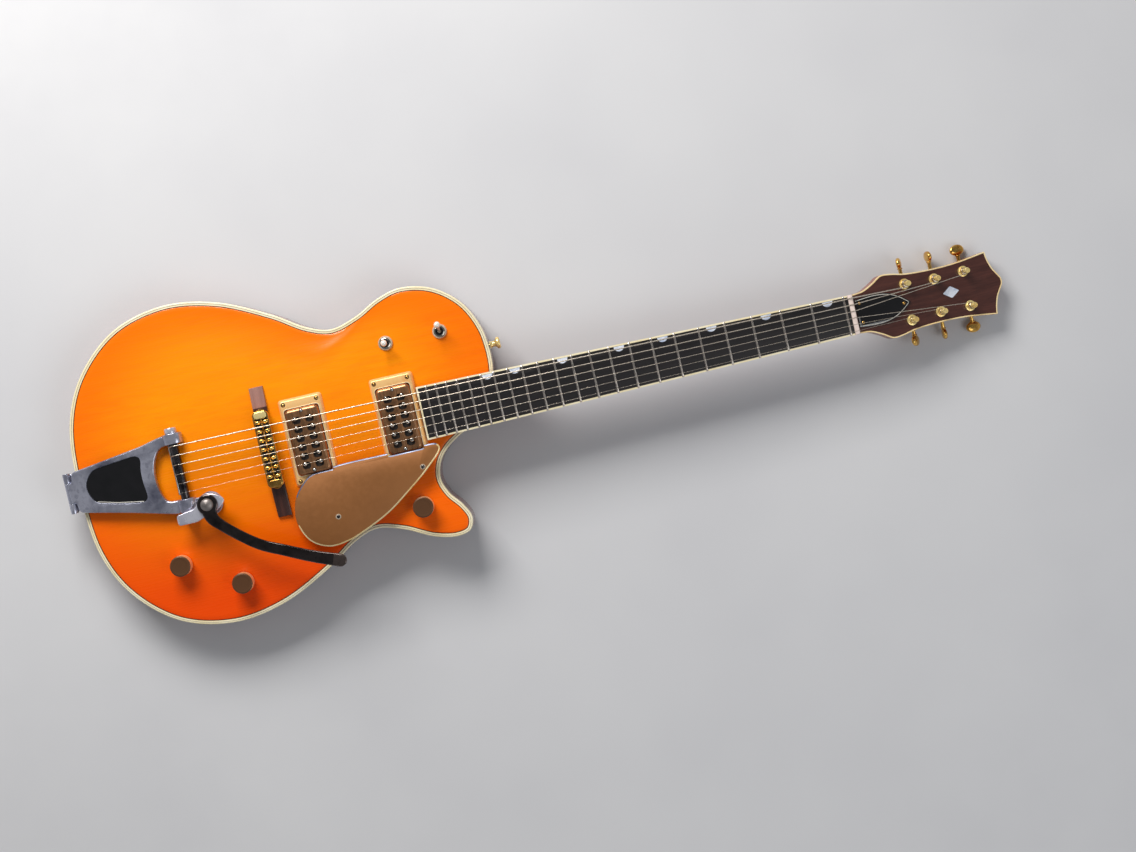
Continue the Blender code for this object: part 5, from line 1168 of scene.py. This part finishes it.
def make_bridge_base(body):
    """Rosewood base that follows the top, with studs and height wheels. Its bass end is painted
    paler, a painted sheen.
    """
    rows = []
    places = np.concatenate([[-73.2, -72.8], np.linspace(-72.0, 65.0, 47), [65.8, 66.2]])
    foot = sum(1 for y in places if y < 43.5) * 10
    for y in places:
        end = 66.2 if y > 0 else 73.2
        gone = np.clip((abs(y) - 43.5) / (end - 43.5), 0.0, 1.0)
        top = 57.8 - 3.3 * gone ** 1.25 - (0.8 if abs(y) > end - 0.1 else 0.0)
        low = float(top_height(0.0, y, body)) + 0.2 if abs(y) > 22 else 55.2
        low = min(low, top - 1.0)
        half = [(7.1, low), (7.5, low + 0.4), (7.5, top - 1.0), (7.15, top - 0.3), (6.4, top)]
        rows.append([(-x, y, z) for x, z in half] + [(x, y, z) for x, z in half[::-1]])
    # Rows beyond the bass step take the paler rosewood: a painted sheen.
    piece = Piece().add(rows_shell(rows), lambda i: "rosewood" if i < foot else "rosewood_painted_sheen")
    for side in (1, -1):
        piece.add(pin(2.0, 56.0, 64.4), "gold_plate", at(0, side * 37.0))
        piece.add(turned([
            (2.1, 60.2), (5.7, 60.2), (6.0, 59.9), (6.0, 58.5), (5.7, 58.2), (2.1, 58.2)], 72, True,
            36, 0.25, (1, 5)), "gold_plate", at(0, side * 37.0))
    piece.build("bridge_base", "rosewood_base", sharp=35)


def make_bridge_bar(hardware):
    """Gold bar with a channel, six grooved rollers and two rows of beads between them."""
    piece = Piece(main="gold_plate")
    edge = rounded_rectangle(17.0, 81.6, 4.8, steps=10)
    channel = rounded_rectangle(13.2, 67.4, 1.0)
    piece.add(plate([edge], 60.6, 66.2, 0.6))
    piece.add(plate([edge, channel], 65.6, 68.0, 0.7))
    # A near-black floor in the channel: painted shade.
    piece.add(plate([rounded_rectangle(13.0, 67.0, 0.8)], 65.8, 66.3), "recess_painted_shade")
    # The bass end plate is painted paler than the treble end's plain gold: a painted highlight on
    # the side towards the key light.
    for side in (1, -1):
        piece.add(plate([rounded_rectangle(13.6, 7.0, 3.0, 0.0, side * 36.4)], 67.0, 68.4, 0.6),
                  "pale_plate_and_painted_highlight" if side == 1 else "gold_plate")
    spacing = mm(hardware.saddle_spread) / 5
    ball = across(turned([(abs(math.sin(a)), math.cos(a)) for a in np.linspace(0, math.pi, 9)], 20))
    for i in range(7):
        y = (i - 3) * spacing
        for side in (1, -1):
            piece.add(ball, "bright_gold", at(side * 4.2, y, 66.9) @ np.diag((3.3, 2.3, 2.3, 1.0)))
        piece.add(rod(0.0, 66.6, 1.0, y - 3.7, y + 3.7, 0.2, 14))
    for i, wire in enumerate(reversed(STRING_DIAMETERS)):
        y = (i - 2.5) * spacing
        profile = [(0, 1.1), (2.9, 1.1), (3.5, 0.8), (3.5 - wire * 0.3, 0.0), (3.5, -0.8),
                   (2.9, -1.1), (0, -1.1)]
        piece.add(across(turned(profile, 28)), "bright_gold", at(0.0, y, 66.7))
    piece.build("bridge_bar", "gold_hardware")


class GUITAR_OT_pickups(bpy.types.Operator):
    """Two pickups with their bezels, the pickguard and the bridge"""

    bl_idname = "guitar.pickups"
    bl_label = "Pickups and bridge"

    def execute(self, context):
        scene = context.scene
        for name, (x, ring_top, top) in PICKUPS.items():
            make_pickup(name, x, ring_top, top, scene.guitar_hardware)
        make_pickguard(scene.guitar_body, scene.guitar_hardware)
        make_bridge_base(scene.guitar_body)
        make_bridge_bar(scene.guitar_hardware)
        return {"FINISHED"}


# Controls, jack and strap buttons

def make_knob(name, x, y, body, hardware):
    """Knurled brass knob with a shallow dish in its top."""
    low, wide, steps = float(top_height(x, y, body)) + 2.5, mm(hardware.knob), 192
    profile = [
        (0, 14.75), (wide * 0.6, 14.78), (wide * 0.84, 14.95), (wide * 0.88, 15.0),
        (wide * 0.95, 14.8), (wide, 14.1), (wide, 13.6), (wide, 6.4), (wide, 5.8),
        (wide * 0.985, 5.4), (wide * 0.985, 0.3), (wide * 0.95, 0.0), (3.0, 0.0), (3.0, -9.0),
        (0, -9.0)]
    shell = turned(profile, steps, flutes=64, depth=0.35, fluted=(6, 8))
    # The top face is painted dark brown, a painted reflection of the dark ceiling; the skirt is
    # brass.
    Piece(at(x, y, low)).add(
        shell, lambda i: "knob_top_painted_dark_reflection" if i < 5 * steps else "knob_brass").build(
        name, "gold_knob", name, sharp=45)


def make_switch(name, x, y, lean, body):
    """Switch bushing with a knurled nut, and its lever with a round tip."""
    foot = float(top_height(x, y, body))
    piece = Piece(at(x, y, foot))
    piece.add(turned([
        (3.4, 4.5), (4.6, 4.5), (5.2, 4.2), (5.2, 2.6), (5.8, 2.4), (5.8, -5.3), (9.0, -5.3),
        (9.0, -20.3), (0, -20.3), (0, -0.1), (2.0, 0.1), (3.4, 2.1)], 40, closed=True), "nickel")
    piece.add(turned([
        (5.9, 2.3), (7.2, 2.3), (7.6, 1.9), (7.6, 0.8), (7.7, 0.5), (7.7, 0.3), (5.9, 0.3)],
        144, True, 36, 0.3, (1, 4)), "pale_nickel")
    piece.add(turned([(3.3, 4.54), (4.5, 4.54), (4.5, 4.0), (3.3, 4.0)], 40, True), "dark_steel")
    # Near black inside the bushing: painted shade.
    piece.add(turned([(3.3, 4.0), (3.3, 0.3), (2.8, 0.2), (2.8, 2.3)], 28, True), "recess_painted_shade")
    piece.build(f"{name}_body", "steel")
    lever, steps = Piece(at(x, y, foot + 2.7, lean, "X")), 28
    # The round tip is painted near white: a painted highlight.
    lever.add(turned([
        (0, 19.5), (1.3, 19.3), (2.4, 18.6), (3.1, 17.6), (3.4, 16.2), (3.1, 14.8), (2.4, 13.6),
        (2.1, 11.0), (1.8, 8.5), (1.5, 5.0), (1.3, 2.4), (1.9, 0.8), (2.25, -0.4), (1.6, -1.8),
        (0, -2.4)], steps), lambda i: "lever_tip_painted_highlight" if i < 5 * steps else "pale_nickel")
    lever.build(f"{name}_lever", "steel", f"{name}_lever", sharp=60)


def make_side_fittings(outline):
    """Output jack with its nut and plate, and two strap buttons."""
    jack = Piece(on_side(math.radians(-137), 21.0, outline), "gold_plate")
    hexagon = softened(circle(0, 0, 6.6, 6), 0.8)
    jack.add(turned([(6.0, 1.8), (10.6, 1.8), (11.3, 1.5), (11.5, 1.0), (11.5, 0.6), (6.0, 0.6)],
                    48, closed=True))
    jack.add(plate([hexagon, circle(0, 0, 4.7, 30)], 1.8, 3.0, 0.3))
    jack.add(turned([(3.2, 3.4), (4.4, 3.4), (4.7, 3.1), (4.7, 0.6), (8.4, 0.5), (8.4, -20.0),
                     (3.2, -20.0)], 36, closed=True))
    jack.add(turned([(3.2, 2.6), (3.2, -18), (2.9, -18), (2.9, 2.6)], 28, closed=True),
             "black_satin")
    jack.build("output_jack", "gold_hardware")
    profile = [
        (0, 10.5), (1.6, 10.6), (2.0, 11.0), (5.0, 11.0), (5.8, 10.6), (6.2, 9.8), (6.2, 8.2),
        (5.7, 7.3), (4.2, 6.6), (3.2, 5.4), (3.0, 3.4), (3.4, 1.6), (4.6, 0.0), (1.5, 0.0),
        (1.5, -10.4), (0, -12.4)]
    places = {"upper_strap_button": (facing((248.65, 54.67), (0.9982, 0.06), 24.0), 0.8),
              "tail_strap_button": (facing((TAIL_X, 0.0), (-1.0, 0.0), 24.0), 3.3)}
    for name, (place, seat) in places.items():
        piece = Piece(place)
        shifted = [(r, h + seat) for r, h in profile[:-2]] + profile[-2:]
        piece.add(turned(shifted, 36), "pale_plate_and_painted_highlight")
        piece.screw(0, 0, seat + 10.1, 1.9, "gold_plate")
        piece.build(name, "gold_hardware")


class GUITAR_OT_controls(bpy.types.Operator):
    """Knobs, switches, output jack and strap buttons"""

    bl_idname = "guitar.controls"
    bl_label = "Controls"

    def execute(self, context):
        scene = context.scene
        for name, (x, y) in KNOB_PLACES.items():
            make_knob(name, x, y, scene.guitar_body, scene.guitar_hardware)
        for name, (x, y, lean) in SWITCH_PLACES.items():
            make_switch(name, x, y, lean, scene.guitar_body)
        make_side_fittings(body_outline(scene.guitar_body.samples))
        return {"FINISHED"}


# Vibrato tailpiece

def make_casting():
    """Polished casting with its black panel, bearings, hinge knuckle and spring cup."""
    piece = Piece(main="bright_aluminium")
    outline = softened(CASTING, 7.0, 7)
    piece.add(plate([outline, softened(PANEL, 5.0, 6)], 0.0, 4.0, 1.7, 5, 0.25), place=TAIL)
    piece.add(plate([outline], -4.0, 2.2, 1.2), place=TAIL)
    panel = inwards(softened(PANEL, 5.0, 6), 0.25)
    piece.add(plate([panel], 1.5, 2.7), "black_gloss", TAIL)
    # A thin white strip along the panel's lower edge: a painted highlight on its lip.
    line = [(28.4, -14.7), (48.6, -20.1), (76.6, -25.0), (76.5, -24.3), (48.4, -19.4),
            (28.2, -14.0)]
    piece.add(plate([line], 2.0, 2.95), "white_line_and_painted_highlight", TAIL)
    for low, high in ((27.3, 38.5), (-45.5, -32.0)):
        turn = np.linspace(0.0, math.pi, 21)
        arc = [(AXLE[0] + 10.0 * np.sign(math.cos(a)) * abs(math.cos(a)) ** 0.75,
                57.0 + 9.5 * math.sin(a) ** 0.8) for a in turn]
        side = [(AXLE[0] - 10.0, 53.6), (AXLE[0] + 10.0, 53.6)]
        rows = []
        for y, shrink in ((low, 0.8), (low + 0.25, 0.25), (low + 0.9, 0.0), (high - 0.9, 0.0),
                          (high - 0.25, 0.25), (high, 0.8)):
            middle = np.array((AXLE[0], 58.0))
            ring = middle + (np.array(arc + side) - middle) * (1 - shrink / 8)
            rows.append([(x, y, z) for x, z in ring])
        piece.add(rows_shell(rows))
    piece.add(rod(*AXLE, 6.4, 38.3, 44.6, 1.2, 36), "pale_aluminium")
    piece.add(rod(0, 0, 3.6, -10.7, 10.7, 0.4), place=TAIL)
    piece.add(turned([
        (0, 54.4), (9.8, 54.4), (10.4, CUP_TOP), (12.0, CUP_TOP), (12.5, 55.7), (12.5, 53.7),
        (12.0, 53.2), (0, 53.2)], 48), place=at(*PIVOT))
    piece.add(box((PIVOT[0] - 20, PIVOT[1] - 3.3, 53.2), (PIVOT[0] - 9, PIVOT[1] + 8.7, 56.0), 0.6))
    piece.build("vibrato_frame", "polished_aluminium", sharp=38)


def make_hinge_plate():
    outside = TAIL_X - 0.6 - 2.4
    piece = Piece(main="bright_aluminium")
    strap = circle(0, 0, 1.8, 20)
    face = facing((outside, 0.0), (-1.0, 0.0), 24.0)
    edge = rounded_rectangle(35.9, 40.0, 2.5) + (-(8.0 + 43.9) / 2 + 24.0, 0.0)
    piece.add(plate([edge, strap], -2.4, 0.0, 0.5), place=face)
    piece.add(box((-221.1, -20.0, 43.0), (outside + 2.4, 20.0, 45.2), 0.6))
    for low, high in ((11.0, 21.5), (-21.5, -11.0)):
        piece.add(rod(*HINGE, 3.6, low, high, 0.5))
        piece.add(box((-220.9, low + 0.2, 44.0), (-214.1, high - 0.2, 50.0), 0.5))
    piece.add(rod(*HINGE, 1.5, -21.5, 21.5, 0.2), "dark_steel")
    for y in (-14.0, 14.0):
        piece.screw(-(24.0 - 36.0), y, 0.0, 2.4, "steel_screw", place=face)
        piece.screw(24.0 - 12.5, -y, 0.0, 2.4, "steel_screw", place=face)
    piece.build("hinge_plate", "polished_aluminium")


def make_axle(hardware):
    """Axle with six pins, the strings' ball ends and the strings wrapped over it."""
    x, z = AXLE
    piece = Piece().add(rod(x, z, 4.8, -56.6, 38.2, 0.6, 36), "dark_steel")
    spread = mm(hardware.axle_spread)
    piece.add(rod(x - 5.1, z + 1.6, 0.9, -26.6, 26.6, 0.2, 14), "steel_screw")
    for i, wire in enumerate(STRING_DIAMETERS):
        y = (2.5 - i) / 5 * spread
        piece.add(pin(1.2, -4.3, 0, 14), "steel_screw", at(x - 3.6, y, z))
        piece.add(rod(x - 3.6, z - 4.8, 2.1, y - 1.6, y + 1.6, 0.5, 20), "bright_gold")
        turn = np.linspace(math.radians(230), math.radians(87), 26)
        reach = 4.8 + 0.3 + wire / 2
        path = np.column_stack([x + reach * np.cos(turn), np.full(26, y), z + reach * np.sin(turn)])
        piece.add(tube(path, wire / 2, 8), "string_metal")
    piece.build("string_axle", "steel", "vibrato_axle")


def make_bracket():
    """Clamp on the axle's end, a plate over the spring, and the arm's pivot bolt."""
    px, py = PIVOT
    x = AXLE[0]
    outline = [
        (x - 11.0, -57.8), (x + 9.5, -57.8), (px - 4.0, py - 11.5), (px + 6.0, py - 9.5),
        (px + 13.5, py - 4.5), (px + 18.5, py + 1.0), (px + 15.0, py + 6.0), (px + 8.0, py + 10.0),
        (px, py + 12.0), (px - 7.5, py + 9.5), (px - 14.0, py - 1.0), (x - 11.0, -46.7)]
    piece = Piece()
    piece.add(plate([softened(outline, 3.5, 6)], BRACKET[0], BRACKET[1], 1.3, 5), "pale_aluminium")
    piece.add(box((x - 7.5, -57.3, 51.9), (x + 7.5, -46.7, 73.0), 1.6), "pale_aluminium")
    piece.add(pin(4.0, BRACKET[1], 81.0, 28), "dark_steel", at(*PIVOT))
    piece.add(turned([(0, 85.3), (1.2, 85.25), (2.0, 84.9), (4.2, 84.4), (5.8, 83.5), (6.6, 82.3),
                      (6.7, 81.2), (6.5, 80.6), (0, 80.6)], 40), "bolt_steel", at(*PIVOT))
    piece.build("arm_bracket", "polished_aluminium", "vibrato_axle")


def make_arm():
    """Flat bar along a curve, with rounded edges, a wide round tip and an eye on the bolt."""
    path = spline(ARM_PATH, 12)
    along = unit(np.gradient(path, axis=0))
    left = left_of(along)
    share = np.linspace(0, 1, len(path))
    far = np.linalg.norm(path - np.array(PIVOT), axis=1)
    widths = (11.2 + 2.4 * share ** 3 + 7.0 * np.maximum(1 - far / 27.0, 0.0) ** 1.3) / 2
    first = np.argmax(far > 6.0)
    rows, own = [], []
    ends = [(path[-1] + along[-1] * 6.8 * math.sin(a), 6.8 * math.cos(a)) for a in
            np.linspace(0, math.pi / 2, 9)[1:]]
    stations = [(path[i], left[i], widths[i]) for i in range(first, len(path))]
    stations += [(point, left[-1], max(wide, 0.3)) for point, wide in ends]
    turn = np.linspace(0, 2 * math.pi, 28, endpoint=False)
    for number, (point, side, wide) in enumerate(stations):
        flat = np.sign(np.cos(turn)) * np.abs(np.cos(turn)) ** 0.6
        tall = np.sign(np.sin(turn)) * np.abs(np.sin(turn)) ** 0.8
        thick = 1.9 * min(1.0, (wide / 3.0) ** 0.5)
        xy = point + np.outer(flat * wide, side)
        rows.append(np.column_stack([xy, 78.4 + tall * thick]))
        own.append(np.column_stack([np.full(28, number), flat, tall]))
    tip = sum(1 for point, _, _ in stations if point[0] < 41.0) * 28
    piece = Piece().add(
        rows_shell(rows, own=own), lambda i: "dark_plating" if i < tip else "tip_plating")
    piece.add(turned([(4.5, ARM[1]), (9.6, ARM[1]), (10.6, ARM[1] - 0.5), (11.0, ARM[1] - 1.4),
                      (11.0, ARM[0] + 1.0), (10.4, ARM[0]), (4.5, ARM[0])], 56, closed=True),
              "dark_plating", at(*PIVOT))
    piece.build("vibrato_arm", "dark_arm", "vibrato_arm", sharp=50)


def make_spring(hardware):
    """Coiled wire between the cup and the bracket."""
    wire = mm(hardware.wire)
    low, high = CUP_TOP + 0.3 + wire / 2, BRACKET[0] - 0.3 - wire / 2
    radius, turns = mm(hardware.coil), 4.5
    share = np.linspace(0, 1, 163)
    angle = share * turns * 2 * math.pi
    path = np.column_stack([PIVOT[0] + radius * np.cos(angle), PIVOT[1] + radius * np.sin(angle),
                            low + (high - low) * share])
    obj = Piece().add(tube(path, wire / 2, 16), "nickel").build("vibrato_spring", "steel", None, 60)
    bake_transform(obj)


class GUITAR_OT_vibrato(bpy.types.Operator):
    """Casting, hinge plate, string axle, arm bracket, arm and spring"""

    bl_idname = "guitar.vibrato"
    bl_label = "Vibrato tailpiece"

    def execute(self, context):
        hardware = context.scene.guitar_hardware
        make_casting()
        make_hinge_plate()
        make_axle(hardware)
        make_bracket()
        make_arm()
        make_spring(hardware)
        return {"FINISHED"}


# Strings

def make_string(number, diameter, neck, tuners, hardware):
    """A string from the axle over the roller, zero fret and nut to the foot of its winding."""
    side = 1 if number < 3 else -1
    index = number if side == 1 else 5 - number
    across_share = (2.5 - number) / 5
    clear = diameter / 2 + 0.3
    scale = mm(neck.scale)
    nut_y = across_share * mm(hardware.nut_spread)
    post_x, post_y = POST_PLACES[index]
    touch_y = side * post_y - side * (mm(tuners.post) * 0.85 + clear)

    def put(matrix, *point):
        return matrix[:3, :3] @ np.array(point) + matrix[:3, 3]
    corners = [
        np.array((AXLE[0] + 1.0, across_share * mm(hardware.axle_spread), AXLE[1] + 4.8 + clear)),
        np.array((0.0, across_share * mm(hardware.saddle_spread), 70.2 + clear)),
        put(NECK, scale, nut_y, 1.0 + clear), put(NECK, scale + 7.7, nut_y, 1.6 + clear),
        put(head_place(neck), post_x, touch_y, 5.0)]
    path = [corners[0]]
    for before, here, after in zip(corners, corners[1:], corners[2:]):
        path += [*bend(here + 1.2 * unit(before - here), here, here + 1.2 * unit(after - here), 5)]
    path.append(corners[-1])
    Piece().add(tube(path, diameter / 2, 10), "string_metal").build(
        f"string_{number + 1}", "string_steel", sharp=60)


class GUITAR_OT_strings(bpy.types.Operator):
    """Six strings from the tailpiece to the tuners"""

    bl_idname = "guitar.strings"
    bl_label = "Strings"

    def execute(self, context):
        scene = context.scene
        for number, diameter in enumerate(STRING_DIAMETERS):
            make_string(number, diameter, scene.guitar_neck, scene.guitar_tuners,
                        scene.guitar_hardware)
        return {"FINISHED"}


# Stage

def area_light(name, place, target, size, power, colour):
    data = bpy.data.lights.new(name, "AREA")
    data.shape = "RECTANGLE"
    data.size, data.size_y = size
    data.energy = power
    data.color = colour
    obj = new_object(name, data)
    obj.location = place
    direction = Vector(target) - Vector(place)
    obj.rotation_euler = direction.to_track_quat("-Z", "Y").to_euler()


def make_surroundings(stage):
    """Pale walls that darken towards the ceiling."""
    world = bpy.data.worlds.new("surroundings")
    world.use_nodes = True
    tree = world.node_tree
    place = add_node(tree, "TexCoord").outputs["Generated"]
    split = add_node(tree, "SeparateXYZ", {0: place})
    rise = add_node(
        tree, "MapRange", {"Value": split.outputs["Z"], "From Min": 0.05, "From Max": 0.9,
        "To Min": stage.walls, "To Max": stage.ceiling}, interpolation_type="SMOOTHSTEP")
    set_inputs(tree, tree.nodes["Background"], {"Color": (0.93, 0.96, 1.0, 1.0),
                                                "Strength": rise.outputs["Result"]})
    return world


def make_floor():
    """A plain floor that the tail and the back of the headstock rest on."""
    low = min(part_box(name)[0].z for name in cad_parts) - 0.0004
    tail, head, count = TAIL_X * 0.001, 0.76, 12
    slope = low / (head - tail)
    grid = [(x, y, slope * (x - tail)) for x in np.linspace(-2.6, 2.9, count)
            for y in np.linspace(-2.6, 2.6, count)]
    index = np.arange(count * count).reshape(count, count)
    quads = np.stack([index[:-1, :-1], index[1:, :-1], index[1:, 1:], index[:-1, 1:]], axis=-1)
    mesh = bpy.data.meshes.new("floor")
    mesh.from_pydata(grid, [], quads.reshape(-1, 4).tolist())
    mesh.materials.append(bpy.data.materials["floor"])
    floor = new_object("floor", mesh)


def make_camera(stage):
    """The photograph's view, from above: its axes and its place, as solved on the frets."""
    data = bpy.data.cameras.new("camera")
    data.sensor_fit, data.sensor_width = "HORIZONTAL", 36.0
    data.lens, data.clip_end = mm(stage.lens), 20.0
    camera = new_object("camera", data)
    right = Vector((0.9747, -0.2231, -0.0106)).normalized()
    back = Vector((0.0194, 0.0370, 0.9991)).normalized()
    up = back.cross(right).normalized()
    matrix = Matrix((up.cross(back), up, back)).transposed().to_4x4()
    matrix.translation = (0.3546, 0.0350, 2.2636)
    camera.matrix_world = matrix
    return camera


class GUITAR_OT_stage(bpy.types.Operator):
    """Floor under the guitar, soft light from the upper left, and the camera"""

    bl_idname = "guitar.stage"
    bl_label = "Stage"

    def execute(self, context):
        stage = context.scene.guitar_stage
        make_floor()
        area_light("key", (-0.24, 1.62, 1.32), (0.15, 0.0, 0.03), (1.3, 0.9), stage.key,
                   (1.0, 0.98, 0.95))
        area_light("fill", (1.3, -0.9, 1.7), (0.2, 0.0, 0.03), (1.2, 1.2), stage.fill,
                   (0.96, 0.98, 1.0))
        context.scene.world = make_surroundings(stage)
        context.scene.camera = make_camera(stage)
        context.scene.view_settings.view_transform = "Standard"
        return {"FINISHED"}


# Registration

OPERATORS = (
    GUITAR_OT_materials, GUITAR_OT_body, GUITAR_OT_neck, GUITAR_OT_tuners, GUITAR_OT_pickups,
    GUITAR_OT_controls, GUITAR_OT_vibrato, GUITAR_OT_strings, GUITAR_OT_stage)
SETTINGS = {"guitar_body": GuitarBodySettings, "guitar_neck": GuitarNeckSettings,
            "guitar_tuners": GuitarTunerSettings, "guitar_hardware": GuitarHardwareSettings,
            "guitar_stage": GuitarStageSettings}


class GUITAR_PT_panel(bpy.types.Panel):
    """Settings and steps of the guitar's looks"""

    bl_idname = "GUITAR_PT_panel"
    bl_label = "Electric guitar"
    bl_space_type = "VIEW_3D"
    bl_region_type = "UI"
    bl_category = "Guitar"

    def draw(self, context):
        for name, group in SETTINGS.items():
            box_layout = self.layout.box()
            box_layout.label(text=group.__doc__)
            for key in group.__annotations__:
                box_layout.prop(getattr(context.scene, name), key)
        for operator in OPERATORS:
            self.layout.operator(operator.bl_idname)


def register():
    for group in SETTINGS.values():
        bpy.utils.register_class(group)
    for name, group in SETTINGS.items():
        setattr(bpy.types.Scene, name, bpy.props.PointerProperty(type=group))
    for made in (*OPERATORS, GUITAR_PT_panel):
        bpy.utils.register_class(made)


def unregister():
    for made in (GUITAR_PT_panel, *reversed(OPERATORS)):
        bpy.utils.unregister_class(made)
    for name, group in SETTINGS.items():
        delattr(bpy.types.Scene, name)
        bpy.utils.unregister_class(group)


def main():
    register()
    bpy.ops.guitar.materials()
    bpy.ops.guitar.body()
    bpy.ops.guitar.neck()
    bpy.ops.guitar.tuners()
    bpy.ops.guitar.pickups()
    bpy.ops.guitar.controls()
    bpy.ops.guitar.vibrato()
    bpy.ops.guitar.strings()
    bpy.ops.guitar.stage()
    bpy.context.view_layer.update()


if __name__ == "__main__":
    main()
